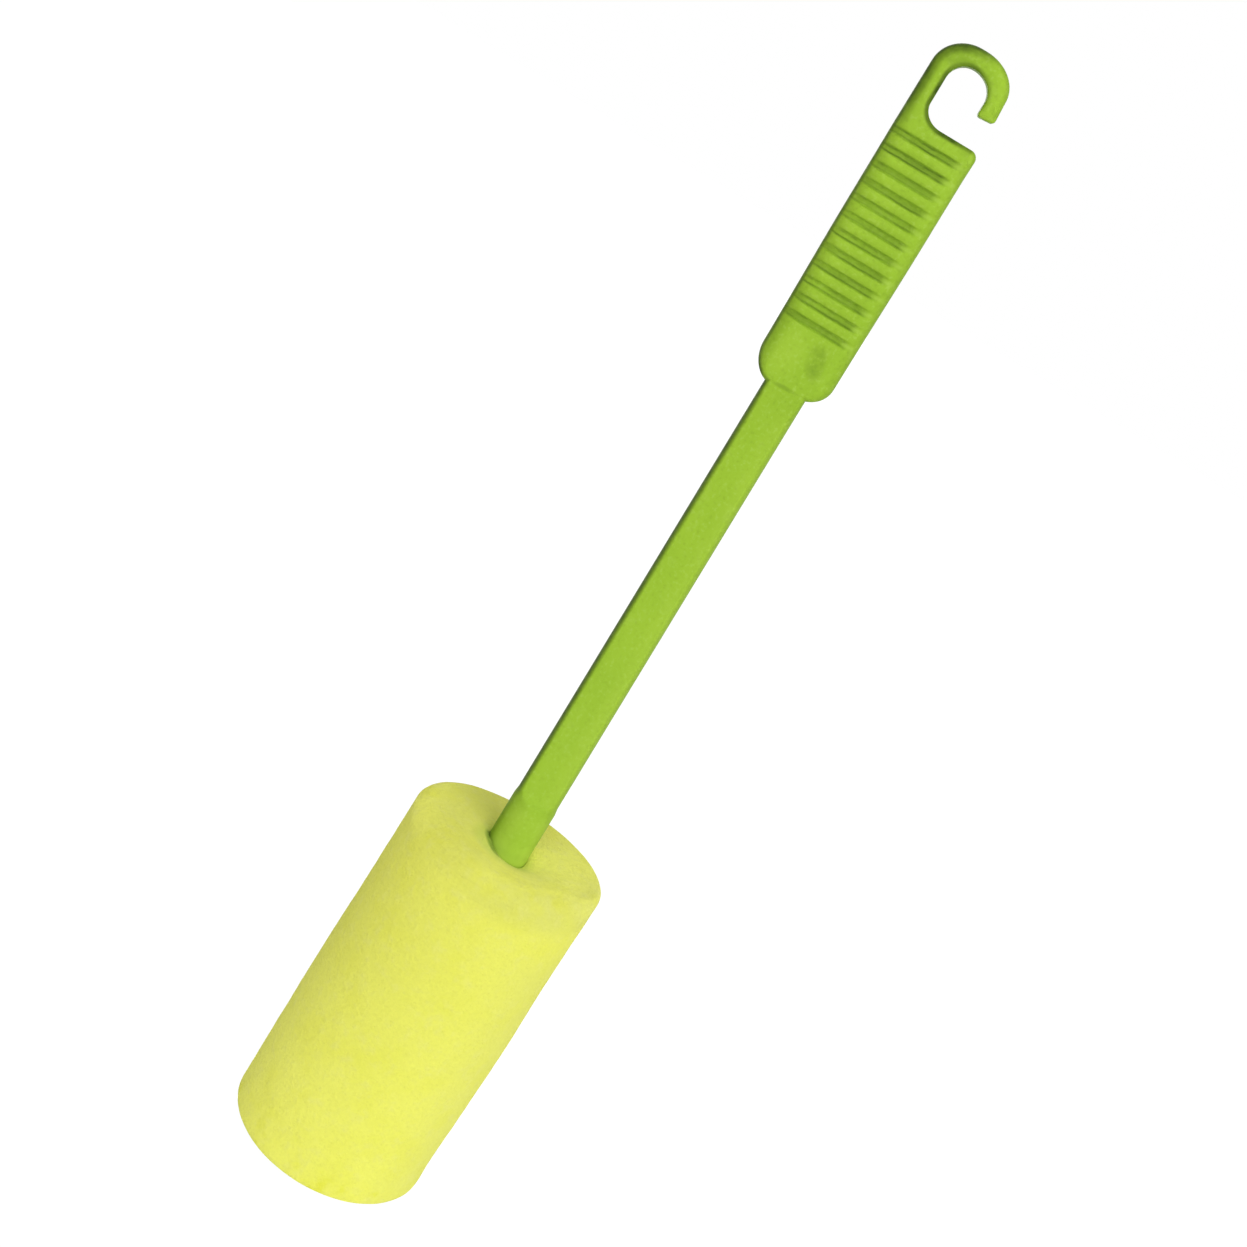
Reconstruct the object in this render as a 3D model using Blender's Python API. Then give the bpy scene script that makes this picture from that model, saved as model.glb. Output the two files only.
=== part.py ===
"""Vacuum flask brush: a foam cylinder on the barbed end of a one-piece moulded handle.

The brush stands on its foam head. +Z runs up the handle to the hook, +X is the side that the hook opens
to, and -Y is the front. The origin is the centre of the foam's lower face. Lengths are in metres.
"""

import math

import bmesh
import bpy
from mathutils import Vector

# Foam head
SPONGE_DIAMETER = 0.0520
SPONGE_LENGTH = 0.0968
SPONGE_TOP_RIM = 0.0028
SPONGE_FOOT_RIM = 0.0034
BORE_MOUTH_RADIUS = 0.0010
FIT_GAP = 0.0003

# Round neck, seen between the foam and the flats, and sunk a little way into the foam
NECK_DIAMETER = 0.0115
NECK_LENGTH = 0.0157
NECK_SINK = 0.0080

# Barbed spigot inside the foam
SPIGOT_CORE_DIAMETER = 0.0070
BARB_DIAMETER = 0.0108
BARB_COUNT = 4
BARB_PITCH = 0.0115
BARB_RAMP = 0.0070
BARB_UNDERCUT = 0.0009
SPIGOT_POINT_LENGTH = 0.0060
SPIGOT_POINT_DIAMETER = 0.0034

# Shank: a round rod with a flat on its front and back
SHANK_LENGTH = 0.1139
SHANK_WIDTH_AT_NECK = 0.0110
SHANK_WIDTH_AT_GRIP = 0.0105
SHANK_THICKNESS = 0.0087
FLAT_RUNOUT_RADIUS = 0.0040
SHANK_ROOT = 0.0080

# Grip
GRIP_LENGTH = 0.0660
GRIP_WIDTH = 0.0197
GRIP_TAPER = 0.0003
GRIP_OFFSET = -0.0003
GRIP_THICKNESS = 0.0092
GRIP_END_RADIUS = 0.0068
GRIP_SIDE_RADIUS = 0.0042
GRIP_END_EDGE = 0.0009
LEDGE_CORNER_RADIUS = 0.0019
SMALL_EDGE = 0.0007
LEAST_FLAT = 0.0003

# Finger grooves across the front and the back of the grip
GROOVE_COUNT = 12
GROOVE_PITCH = 0.00413
GROOVE_WIDTH = 0.0017
GROOVE_DEPTH = 0.0012
GROOVE_BELOW_LEDGE = 0.0045
GROOVE_FADE = 0.0001
CUTTER_REACH = 0.0010

# Hook
LEG_WIDTH = 0.0046
OPENING_WIDTH = 0.0100
OPENING_HEIGHT = 0.0146
OPENING_FILLET_WIDTH = 0.0050
OPENING_FILLET_HEIGHT = 0.0042
ARCH_THICKNESS = 0.00455
ARM_WIDTH = 0.0039
MOUTH_HEIGHT = 0.00665
TIP_RISE = 0.0004
TIP_FLARE = 0.0002
HOOK_SET_IN = 0.0002
TIP_CORNER_RADIUS = 0.0008
HOOK_SIDE_RADIUS = 0.0028
ARCH_CROWN_FROM_LEG = 0.0074
ARCH_CROWN_WIDTH = 0.0024
ARCH_SHOULDER_HEIGHT = 0.0083
OPENING_CROWN_FROM_LEG = 0.0044
OPENING_LEG_SHOULDER = 0.0029
OPENING_ARM_SHOULDER = 0.0039

# Facets
TURN_SIDES = 48
QUARTER_STEPS = 6
EDGE_STEPS = 5

# Heights and places that follow from the sizes above
FLAT_START_Z = SPONGE_LENGTH + NECK_LENGTH
GRIP_BASE_Z = FLAT_START_Z + SHANK_LENGTH
LEDGE_Z = GRIP_BASE_Z + GRIP_LENGTH
OPENING_TOP_Z = LEDGE_Z + OPENING_HEIGHT
HOOK_TOP_Z = OPENING_TOP_Z + ARCH_THICKNESS
TIP_Z = LEDGE_Z + MOUTH_HEIGHT
GROOVES_TOP_Z = LEDGE_Z - GROOVE_BELOW_LEDGE + GROOVE_WIDTH / 2
GRIP_LEFT = GRIP_OFFSET - GRIP_WIDTH / 2
GRIP_RIGHT = GRIP_OFFSET + GRIP_WIDTH / 2
HOOK_LEFT = GRIP_LEFT + HOOK_SET_IN
OPENING_LEFT = HOOK_LEFT + LEG_WIDTH
OPENING_RIGHT = OPENING_LEFT + OPENING_WIDTH
ARM_RIGHT = OPENING_RIGHT + ARM_WIDTH
HALF_GRIP = GRIP_THICKNESS / 2
HALF_SHANK = SHANK_THICKNESS / 2
NECK_RADIUS = NECK_DIAMETER / 2

# Rounded edges, each held within the wall that it rounds
SIDE_EDGE = min(GRIP_SIDE_RADIUS, HALF_GRIP)
TIP_EDGE = min(SMALL_EDGE, TIP_CORNER_RADIUS)
LEDGE_EDGE = min(SMALL_EDGE, LEDGE_CORNER_RADIUS)
HOOK_WALL = min(LEG_WIDTH, ARM_WIDTH, ARCH_THICKNESS)
HOOK_EDGE = min(HOOK_SIDE_RADIUS, HALF_GRIP, HOOK_WALL - SMALL_EDGE - LEAST_FLAT)

GREEN_PLASTIC = (0.338, 0.546, 0.042, 1.0)
YELLOW_FOAM = (0.839, 0.847, 0.147, 1.0)


def clear_scene():
    for thing in list(bpy.data.objects):
        bpy.data.objects.remove(thing, do_unlink=True)


def make_material(name, colour, roughness):
    material = bpy.data.materials.new(name)
    material.use_nodes = True
    shader = material.node_tree.nodes["Principled BSDF"]
    shader.inputs["Base Color"].default_value = colour
    shader.inputs["Roughness"].default_value = roughness
    shader.inputs["Metallic"].default_value = 0.0
    return material


def add_object(name, bm):
    bmesh.ops.recalc_face_normals(bm, faces=bm.faces)
    mesh = bpy.data.meshes.new(name)
    bm.to_mesh(mesh)
    bm.free()
    thing = bpy.data.objects.new(name, mesh)
    bpy.context.scene.collection.objects.link(thing)
    return thing


def shade_round(thing, angle_degrees):
    thing.data.shade_smooth()
    thing.data.set_sharp_from_angle(angle=math.radians(angle_degrees))


def make_guide(thing):
    """A guide only cuts or joins: it isn't part of the model."""
    thing.hide_render = True
    thing.display_type = "WIRE"


def add_boolean(thing, guide, operation):
    modifier = thing.modifiers.new(guide.name, "BOOLEAN")
    modifier.object = guide
    modifier.operation = operation
    modifier.solver = "EXACT"


def arc(centre, radii, start, end, steps=QUARTER_STEPS):
    """Points on an ellipse about centre, from one angle to another in degrees, both ends included."""
    points = []
    for step in range(steps + 1):
        angle = math.radians(start + (end - start) * step / steps)
        points.append((centre[0] + radii[0] * math.cos(angle), centre[1] + radii[1] * math.sin(angle)))
    return points


def ease(share):
    return share * share * (3 - 2 * share)


def with_edges(points, first, last):
    """Give each outline point the radius of its edge, eased from the first value to the last."""
    steps = max(len(points) - 1, 1)
    return [(x, z, first + (last - first) * ease(i / steps)) for i, (x, z) in enumerate(points)]


def line(start, end, steps):
    return [tuple(Vector(start).lerp(Vector(end), i / steps)) for i in range(steps + 1)]


def drop_repeats(outline):
    kept = []
    for point in outline:
        if not kept or math.dist(point[:2], kept[-1][:2]) > 1e-6:
            kept.append(point)
    if math.dist(kept[0][:2], kept[-1][:2]) < 1e-6:
        kept.pop()
    return kept


def revolve(profile, sides=TURN_SIDES):
    """Turn (radius, z) points about the Z axis. The first and last lie on the axis and close the solid."""
    bm = bmesh.new()
    rings = []
    for radius, z in profile:
        if radius < 1e-9:
            rings.append([bm.verts.new((0, 0, z))])
            continue
        ring = []
        for side in range(sides):
            angle = 2 * math.pi * side / sides
            ring.append(bm.verts.new((radius * math.cos(angle), radius * math.sin(angle), z)))
        rings.append(ring)
    for lower, upper in zip(rings, rings[1:]):
        for side in range(sides):
            after = (side + 1) % sides
            corners = [lower[side % len(lower)], lower[after % len(lower)]]
            corners += [upper[after % len(upper)], upper[side % len(upper)]]
            bm.faces.new(list(dict.fromkeys(corners)))
    return bm


def grip_side_at(side, z):
    """Place of the grip's left (-1) or right (1) side, which leans out from its lower end to the ledge."""
    lean = GRIP_TAPER / 2 * (LEDGE_Z - z) / GRIP_LENGTH
    return GRIP_OFFSET + side * (GRIP_WIDTH / 2 - lean)


def spigot_profile(gap=0.0):
    """Barbed end from its point up to the neck, grown by a gap where it makes the bore of the foam."""
    core = SPIGOT_CORE_DIAMETER / 2 + gap
    barb = BARB_DIAMETER / 2 + gap
    shoulder_z = SPONGE_LENGTH - NECK_SINK
    point_z = shoulder_z - BARB_COUNT * BARB_PITCH - SPIGOT_POINT_LENGTH
    profile = [(0.0, point_z - gap), (SPIGOT_POINT_DIAMETER / 2 + gap, point_z - gap)]
    for number in range(BARB_COUNT):
        root_z = shoulder_z - (BARB_COUNT - number) * BARB_PITCH
        profile.append((core, root_z - gap))
        profile.append((barb, root_z + BARB_RAMP - gap))
        profile.append((barb, root_z + BARB_RAMP + gap))
        profile.append((core, root_z + BARB_RAMP + BARB_UNDERCUT + gap))
    profile.append((core, shoulder_z - gap))
    profile.append((NECK_RADIUS + gap, shoulder_z - gap))
    return drop_repeats(profile)


def build_shank():
    """Spigot, round neck and tapering rod in one turned solid, with the two flats cut from it."""
    root_z = GRIP_BASE_Z + SHANK_ROOT
    profile = spigot_profile()
    profile.append((NECK_RADIUS, FLAT_START_Z - FLAT_RUNOUT_RADIUS))
    profile.append((SHANK_WIDTH_AT_NECK / 2, FLAT_START_Z))
    profile.append((SHANK_WIDTH_AT_GRIP / 2, GRIP_BASE_Z))
    profile.append((SHANK_WIDTH_AT_GRIP / 2, root_z))
    profile.append((0.0, root_z))
    shank = add_object("shank_guide", revolve(profile))
    shade_round(shank, 30)
    make_guide(shank)
    add_boolean(shank, build_flat_cutters(root_z), "DIFFERENCE")
    return shank


def build_flat_cutters(root_z):
    """Each flat ends above the neck in a curve, as the end of a milled flat does."""
    above = root_z + CUTTER_REACH
    outer = NECK_RADIUS + CUTTER_REACH
    reach = FLAT_RUNOUT_RADIUS
    run_out = arc((HALF_SHANK + reach, FLAT_START_Z), (reach, reach), 180, 270)
    side = [(HALF_SHANK, above)] + run_out + [(HALF_SHANK + reach + outer, FLAT_START_Z - reach)]
    side.append((HALF_SHANK + reach + outer, above))
    bm = bmesh.new()
    for face in (-1, 1):
        ends = []
        for x in (-outer, outer):
            ends.append([bm.verts.new((x, face * y, z)) for y, z in side])
        for i in range(len(side)):
            after = (i + 1) % len(side)
            bm.faces.new((ends[0][i], ends[0][after], ends[1][after], ends[1][i]))
        bm.faces.new(ends[0])
        bm.faces.new(ends[1])
    cutters = add_object("flat_cutters", bm)
    make_guide(cutters)
    return cutters


def grip_outline():
    """Lower end and open side of the grip, up to the ledge, with the radius of each point's edge."""
    end = GRIP_END_RADIUS
    end_z = GRIP_BASE_Z + end
    corner = LEDGE_CORNER_RADIUS
    left = grip_side_at(-1, end_z)
    right = grip_side_at(1, end_z)
    outline = with_edges(arc((left + end, end_z), (end, end), 180, 270), SIDE_EDGE, GRIP_END_EDGE)
    outline += with_edges(arc((right - end, end_z), (end, end), 270, 360), GRIP_END_EDGE, SIDE_EDGE)
    fade_start = (grip_side_at(1, GROOVES_TOP_Z), GROOVES_TOP_Z)
    fade = line(fade_start, (GRIP_RIGHT, LEDGE_Z - corner), QUARTER_STEPS)
    outline += with_edges(fade, SIDE_EDGE, LEDGE_EDGE)
    ledge_corner = arc((GRIP_RIGHT - corner, LEDGE_Z - corner), (corner, corner), 0, 90)
    return outline + with_edges(ledge_corner, LEDGE_EDGE, LEDGE_EDGE)


def opening_outline():
    """The hook's opening, from the ledge up the leg, over under the arch and down to the tip."""
    tip = TIP_CORNER_RADIUS
    crown_x = OPENING_LEFT + OPENING_CROWN_FROM_LEG
    fillet = (OPENING_FILLET_WIDTH, OPENING_FILLET_HEIGHT)
    opening = arc((OPENING_LEFT + fillet[0], LEDGE_Z + fillet[1]), fillet, 270, 180)
    leg_quarter = (OPENING_CROWN_FROM_LEG, OPENING_LEG_SHOULDER)
    opening += arc((crown_x, OPENING_TOP_Z - OPENING_LEG_SHOULDER), leg_quarter, 180, 90)
    arm_quarter = (OPENING_RIGHT - crown_x, OPENING_ARM_SHOULDER)
    opening += arc((crown_x, OPENING_TOP_Z - OPENING_ARM_SHOULDER), arm_quarter, 90, 0)
    outline = with_edges(opening, SMALL_EDGE, SMALL_EDGE)
    tip_inner = arc((OPENING_RIGHT + tip, TIP_Z + tip), (tip, tip), 180, 270)
    return outline + with_edges(tip_inner, TIP_EDGE, TIP_EDGE)


def hook_back_outline():
    """The hook's outer side, from the tip up the arm, over the arch and down the leg to the grip."""
    tip = TIP_CORNER_RADIUS
    arm_outer = ARM_RIGHT + TIP_FLARE
    arch_z = HOOK_TOP_Z - ARCH_SHOULDER_HEIGHT
    leg_crown = HOOK_LEFT + ARCH_CROWN_FROM_LEG
    arm_crown = leg_crown + ARCH_CROWN_WIDTH
    tip_outer = arc((arm_outer - tip, TIP_Z + TIP_RISE + tip), (tip, tip), 270, 360)
    outline = with_edges(tip_outer, TIP_EDGE, TIP_EDGE)
    arm = line((arm_outer, TIP_Z + TIP_RISE + tip), (ARM_RIGHT, arch_z), QUARTER_STEPS)
    outline += with_edges(arm, TIP_EDGE, HOOK_EDGE)
    arch = arc((arm_crown, arch_z), (ARM_RIGHT - arm_crown, ARCH_SHOULDER_HEIGHT), 0, 90)
    arch += arc((leg_crown, arch_z), (ARCH_CROWN_FROM_LEG, ARCH_SHOULDER_HEIGHT), 90, 180)
    outline += with_edges(arch, HOOK_EDGE, HOOK_EDGE)
    leg_foot = (grip_side_at(-1, GROOVES_TOP_Z), GROOVES_TOP_Z)
    return outline + with_edges(line((HOOK_LEFT, arch_z), leg_foot, QUARTER_STEPS), HOOK_EDGE, SIDE_EDGE)


def inward_normals(outline):
    """Unit normals into an anticlockwise outline, from the neighbours on each side of a point."""
    normals = []
    for i, (x, z, _) in enumerate(outline):
        before = Vector((x - outline[i - 1][0], z - outline[i - 1][1])).normalized()
        follow = outline[(i + 1) % len(outline)]
        after = Vector((follow[0] - x, follow[1] - z)).normalized()
        along = (before + after).normalized()
        normals.append(Vector((-along.y, along.x)))
    return normals


def rounded_slab(outline, half_thickness):
    """A slab whose front and back edges are rounded, each point of the outline by its own radius."""
    bm = bmesh.new()
    normals = inward_normals(outline)
    heights = [(-1, step) for step in range(EDGE_STEPS, -1, -1)]
    heights += [(1, step) for step in range(EDGE_STEPS + 1)]
    rings = []
    for face, step in heights:
        angle = math.radians(90 * step / EDGE_STEPS)
        ring = []
        for (x, z, radius), normal in zip(outline, normals):
            inset = radius * (1 - math.cos(angle))
            y = half_thickness - radius + radius * math.sin(angle)
            ring.append(bm.verts.new((x + normal.x * inset, face * y, z + normal.y * inset)))
        rings.append(ring)
    for back, front in zip(rings, rings[1:]):
        for i in range(len(outline)):
            after = (i + 1) % len(outline)
            bm.faces.new((back[i], back[after], front[after], front[i]))
    bm.faces.new(rings[0])
    bm.faces.new(rings[-1])
    return bm


def groove_floor(z):
    """The groove's floor follows the rounded section and rises to meet it near the parting line."""
    across = SIDE_EDGE + GROOVE_FADE
    radii = (across, SIDE_EDGE - GROOVE_DEPTH)
    floor_y = HALF_GRIP - SIDE_EDGE
    right = arc((grip_side_at(1, z) + GROOVE_FADE - across, floor_y), radii, 0, 90)
    left = arc((grip_side_at(-1, z) - GROOVE_FADE + across, floor_y), radii, 90, 180)
    return right + left


def build_groove_cutters():
    bm = bmesh.new()
    top_y = HALF_GRIP + CUTTER_REACH
    for number in range(GROOVE_COUNT):
        centre_z = LEDGE_Z - GROOVE_BELOW_LEDGE - number * GROOVE_PITCH
        floor = groove_floor(centre_z)
        base_y = floor[0][1]
        section = [(GRIP_RIGHT + CUTTER_REACH, top_y), (GRIP_RIGHT + CUTTER_REACH, base_y)] + floor
        section += [(GRIP_LEFT - CUTTER_REACH, base_y), (GRIP_LEFT - CUTTER_REACH, top_y)]
        for face in (-1, 1):
            ends = []
            for z in (centre_z - GROOVE_WIDTH / 2, centre_z + GROOVE_WIDTH / 2):
                ends.append([bm.verts.new((x, face * y, z)) for x, y in section])
            for i in range(len(section)):
                after = (i + 1) % len(section)
                bm.faces.new((ends[0][i], ends[0][after], ends[1][after], ends[1][i]))
            bm.faces.new(ends[0])
            bm.faces.new(ends[1])
    cutters = add_object("groove_cutters", bm)
    make_guide(cutters)
    return cutters


def build_handle():
    """One moulding: hook, grooved grip, flatted shank, neck and barbed spigot."""
    outline = drop_repeats(grip_outline() + opening_outline() + hook_back_outline())
    handle = add_object("handle", rounded_slab(outline, HALF_GRIP))
    handle.data.materials.append(make_material("green_plastic", GREEN_PLASTIC, 0.45))
    shade_round(handle, 35)
    add_boolean(handle, build_groove_cutters(), "DIFFERENCE")
    add_boolean(handle, build_shank(), "UNION")
    return handle


def build_sponge_head():
    """Foam cylinder with soft rims, closed round the spigot's barbs and open where the neck goes in."""
    foot = SPONGE_FOOT_RIM
    top = SPONGE_TOP_RIM
    outer = SPONGE_DIAMETER / 2
    mouth = BORE_MOUTH_RADIUS
    bore = NECK_RADIUS + FIT_GAP
    profile = [(0.0, 0.0)]
    profile += arc((outer - foot, foot), (foot, foot), -90, 0)
    profile += arc((outer - top, SPONGE_LENGTH - top), (top, top), 0, 90)
    profile += arc((bore + mouth, SPONGE_LENGTH - mouth), (mouth, mouth), 90, 180, 3)
    profile += reversed(spigot_profile(FIT_GAP))
    sponge = add_object("sponge_head", revolve(profile))
    sponge.data.materials.append(make_material("yellow_foam", YELLOW_FOAM, 0.95))
    shade_round(sponge, 40)
    return sponge


def main():
    clear_scene()
    build_handle()
    build_sponge_head()


main()
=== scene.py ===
"""Looks of the vacuum flask brush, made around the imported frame.

The brush stands on its foam head. +Z runs up the handle to the hook, +X is the side that the hook opens
to, and -Y is the front, which the camera sees. Lengths are in metres.
"""

import math

import bmesh
import bpy
import numpy as np
from mathutils import Matrix, Vector, noise
from mathutils.geometry import delaunay_2d_cdt
from mathutils.kdtree import KDTree


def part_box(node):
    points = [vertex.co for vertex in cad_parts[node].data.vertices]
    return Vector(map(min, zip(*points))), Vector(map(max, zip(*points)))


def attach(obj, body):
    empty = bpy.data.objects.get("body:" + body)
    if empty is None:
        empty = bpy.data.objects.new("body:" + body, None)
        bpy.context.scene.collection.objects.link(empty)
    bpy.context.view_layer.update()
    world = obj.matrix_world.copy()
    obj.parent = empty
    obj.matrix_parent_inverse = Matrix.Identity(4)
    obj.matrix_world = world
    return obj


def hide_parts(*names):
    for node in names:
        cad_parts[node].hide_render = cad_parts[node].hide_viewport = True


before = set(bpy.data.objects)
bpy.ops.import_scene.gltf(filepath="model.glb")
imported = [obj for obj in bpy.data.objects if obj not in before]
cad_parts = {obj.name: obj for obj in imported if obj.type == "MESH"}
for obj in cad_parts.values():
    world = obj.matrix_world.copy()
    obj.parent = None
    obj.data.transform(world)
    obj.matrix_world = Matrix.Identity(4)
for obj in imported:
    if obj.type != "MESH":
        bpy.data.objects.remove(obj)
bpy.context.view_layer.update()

# What the frame gives
FOAM_LOW, FOAM_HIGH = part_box("sponge_head")
HANDLE_LOW, HANDLE_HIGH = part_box("handle")
FOAM_RADIUS = (FOAM_HIGH.x - FOAM_LOW.x) / 2
FOAM_TOP_Z = FOAM_HIGH.z
HOOK_TOP_Z = HANDLE_HIGH.z
SPIGOT_TIP_Z = HANDLE_LOW.z
NECK_RADIUS = HANDLE_HIGH.y
GRIP_RIGHT = HANDLE_HIGH.x

# Handle: neck, flatted shank and spigot
NECK_LENGTH = 0.0157
NECK_SINK = 0.0080
SPIGOT_CORE_RADIUS = 0.0035
SPIGOT_POINT_RADIUS = 0.0017
BARB_RADIUS = 0.0054
BARB_COUNT = 4
BARB_PITCH = 0.0115
BARB_RAMP = 0.0070
BARB_UNDERCUT = 0.0009
SHANK_RADIUS_AT_NECK = 0.0055
SHANK_RADIUS_AT_GRIP = 0.00525
HALF_SHANK = 0.00435
FLAT_RUNOUT_RADIUS = 0.0040
FLAT_CORNER_RADIUS = 0.0003
NECK_SHOULDER_STEEPNESS = 1.6
SHANK_ROOT = 0.0080
SHANK_BLEND = 0.0060
SHANK_BLEND_RISE = 0.00026
SHANK_SQUARENESS = 0.30
SHANK_END_SQUARENESS = 0.55

# Handle: grip
GRIP_LENGTH = 0.0660
GRIP_WIDTH = 0.0197
GRIP_TAPER = 0.0003
GRIP_SWELL = 0.00012
GRIP_SWELL_Z = 0.2650
GRIP_SWELL_REACH = 0.0160
HALF_GRIP = 0.0046
GRIP_END = (0.0064, 0.0073)
OPEN_END = (0.0085, 0.0060)
OPEN_END_FULLNESS = 2.3
GRIP_SIDE_EDGE = 0.0042
GRIP_END_EDGE = 0.0009
LEDGE_CORNER_RADIUS = 0.0019
SMALL_EDGE = 0.0007
LEDGE_CORNER_EDGE = 0.0016
EDGE_SHARPENING = 0.0070
TIP_EDGE = 0.0005

# Handle: finger grooves
GROOVE_COUNT = 12
GROOVE_PITCH = 0.00413
GROOVE_WIDTH = 0.0017
GROOVE_DEPTH = 0.0010
GROOVE_LIP = 0.00055
GROOVE_BELOW_LEDGE = 0.0045
GROOVE_FADE = 0.97
GROOVE_FADE_REACH = (0.0036, 0.0084)

# Handle: hook
LEG_WIDTH = 0.0046
OPENING_WIDTH = 0.0100
OPENING_HEIGHT = 0.0146
OPENING_FILLET = (0.0050, 0.0042)
ARCH_THICKNESS = 0.00455
ARM_WIDTH = 0.0039
MOUTH_HEIGHT = 0.00665
TIP_RISE = 0.0002
TIP_FLARE = 0.0002
TIP_CORNER_RADIUS = 0.0008
HOOK_SET_IN = 0.0002
HOOK_EDGE = 0.0028
ARCH_CROWN_FROM_LEG = 0.0082
ARCH_CROWN_WIDTH = 0.0012
ARCH_SHOULDER_HEIGHT = 0.0072
OPENING_CROWN_FROM_LEG = 0.0044
OPENING_LEG_SHOULDER = 0.0042
OPENING_ARM_SHOULDER = 0.0048

# Handle: the sink mark that moulding leaves, and ovals of painted shade and of a painted highlight, each
# oval as (centre, reach, slant)
SINK_MARK = ((0.0026, 0.2358), (0.0019, 0.0034), 0.35)
SINK_MARK_DEPTH = 0.00022
JOINT_SHADE_OVAL = ((-0.0006, 0.2274), (0.0024, 0.0005), -0.3)
GRIP_HIGHLIGHT_OVAL = ((-0.0040, 0.2345), (0.0030, 0.0050), 0.0)
ARCH_SHADE_OVAL = ((-0.0056, 0.3080), (0.0036, 0.0024), 0.0)

# Foam head
TOP_RIM_RADIUS = 0.0028
FOOT_RIM_RADIUS = 0.0036
BORE_MOUTH_RADIUS = 0.0004
FIT_GAP = 0.0003
FOAM_LEAN = 0.0245
FOAM_LEAN_PIVOT_Z = 0.0745
FOAM_SWELL = 0.00035
FOAM_SWELL_Z = 0.0400
FOAM_SWELL_REACH = 0.0260
FOAM_LEFT_LIFT = 0.036
FOAM_LEFT_LIFT_AT_FOOT = 0.014
FOAM_TOP_TAPER = 0.00036
FOAM_TAPER_HEIGHTS = (0.048, 0.070)
FOAM_FOOT_BULGE = 0.00032
FOAM_BULGE_HEIGHTS = (0.010, 0.004)
FOAM_SIDE_DEPTHS = (0.006, 0.002)
TOP_RIM_SHARPER = 0.0010
TOP_RIM_FRONT = 0.0076
TOP_RIM_FRONT_SINES = (0.075, 0.700)
TOP_RIM_SQUEEZED = 0.0024
TOP_RIM_SQUEEZED_SIDE = math.radians(-38)
TOP_RIM_SQUEEZED_REACH = math.radians(21)
NECK_DIMPLE_DEPTH = 0.0003
NECK_DIMPLE_REACH = 0.0024
NECK_DIP_DEPTH = 0.0032
NECK_DIP_SIDE = math.radians(-45)
NECK_DIP_REACH = 0.0044
NECK_DIP_DEPTHS = (0.012, 0.0)
NECK_HUG = 0.00025
NECK_HUG_REACH = 0.0030
NECK_HUG_DEPTH = 0.0078
FREE_OF_NECK = 0.0040
LUMPY_FROM_NECK = 0.0020

# Foam head: unevenness of the cut, as (height, size, seed) of each kind of lump
SIDE_LUMPS = ((0.00005, 0.0180, 3.1), (0.00005, 0.0060, 8.7), (0.00005, 0.0022, 5.3))
TOP_LUMPS = ((0.00016, 0.0090, 1.9), (0.00006, 0.0030, 6.1))

# Painted shade along the handle's edges, most where they turn away from the light, kept as a value of each
# vertex from 0, none, to 1. A pair of distances gives where the shade is full and where it ends, and a turn
# says how soon it changes as an edge turns to the left or up.
EDGE_SHADE_ATTRIBUTE = "painted_edge_shade"
ROUNDED_LINE = (0.00025, 0.00115)
ROUNDED_SHADE = 0.12
ROUNDED_UPPER_SHADE = 0.12
ROUNDED_LEFT_SHADE = 0.68
ROUNDED_TURN = (1.4, 0.60)
CRISP_LINE = (0.00050, 0.00130)
CRISP_RADII = (0.0010, 0.0020)
CRISP_LEFT_SHADE = 0.32
CRISP_OTHER_SHADE = 0.94
CRISP_TURN = 1.3
CRISP_OUTERMOST = 0.5
# Less painted shade where an edge faces right, towards the light, or faces down
RIGHT_FACING_LESS_SHADE = 0.40
DOWN_FACING_LESS_SHADE = 0.34
HOOK_SLOPE = (0.0012, 0.0026)
HOOK_SLOPE_SHADE = 0.58
HOOK_SLOPE_REACH = 0.0070
LEG_WAIST_Z = 0.2998
LEG_WAIST_REACH = 0.0050
# Less painted shade on crisp edges towards the right and by the hook's tip
RIGHTWARD_LESS_SHADE = 0.65
RIGHTWARD_FROM_X = (0.0030, 0.0080)
TIP_LESS_SHADE = 0.70
TIP_LESS_SHADE_HEIGHTS = (0.0024, 0.0006)
SHANK_LINE = (0.00020, 0.00150)
SHANK_SHADE = 0.08
SHANK_LEFT_SHADE = 0.78
NECK_LESS_SHADE = 0.62
# Painted shade on the left side fades towards the back
BACK_FADE_DEPTHS = (-0.0022, 0.0012)
BACK_FADE_SHARE = 0.75
BACK_FADE_TURN = 2.0

# Mesh steps, and the least bend in degrees that is shaded as a crease
ARC_STEPS = 16
EDGE_STEPS = 9
LIP_STEPS = 4
SHANK_SIDES = 128
FOAM_SIDES = 288
FOAM_SIDE_ROWS = 140
GRIP_COLUMN = 0.0005
OUTLINE_STEP = 0.0004
EDGE_INSETS = (0.0002, 0.0004, 0.0007)
EDGE_MARGIN = 0.90
GRID_MARGIN = 0.35
TIP_SIDE_ROWS = 6
NECK_ROWS = 12
SHANK_ROWS = 60
FOOT_FIRST_RING = 1 / 12
FOOT_RINGS = 14
FOOT_RIM_STEPS = 9
TOP_RINGS = 30
MOUTH_STEPS = 6
MOUTH_ROWS = 10
HANDLE_CREASE = 55
FOAM_CREASE = 60

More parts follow.
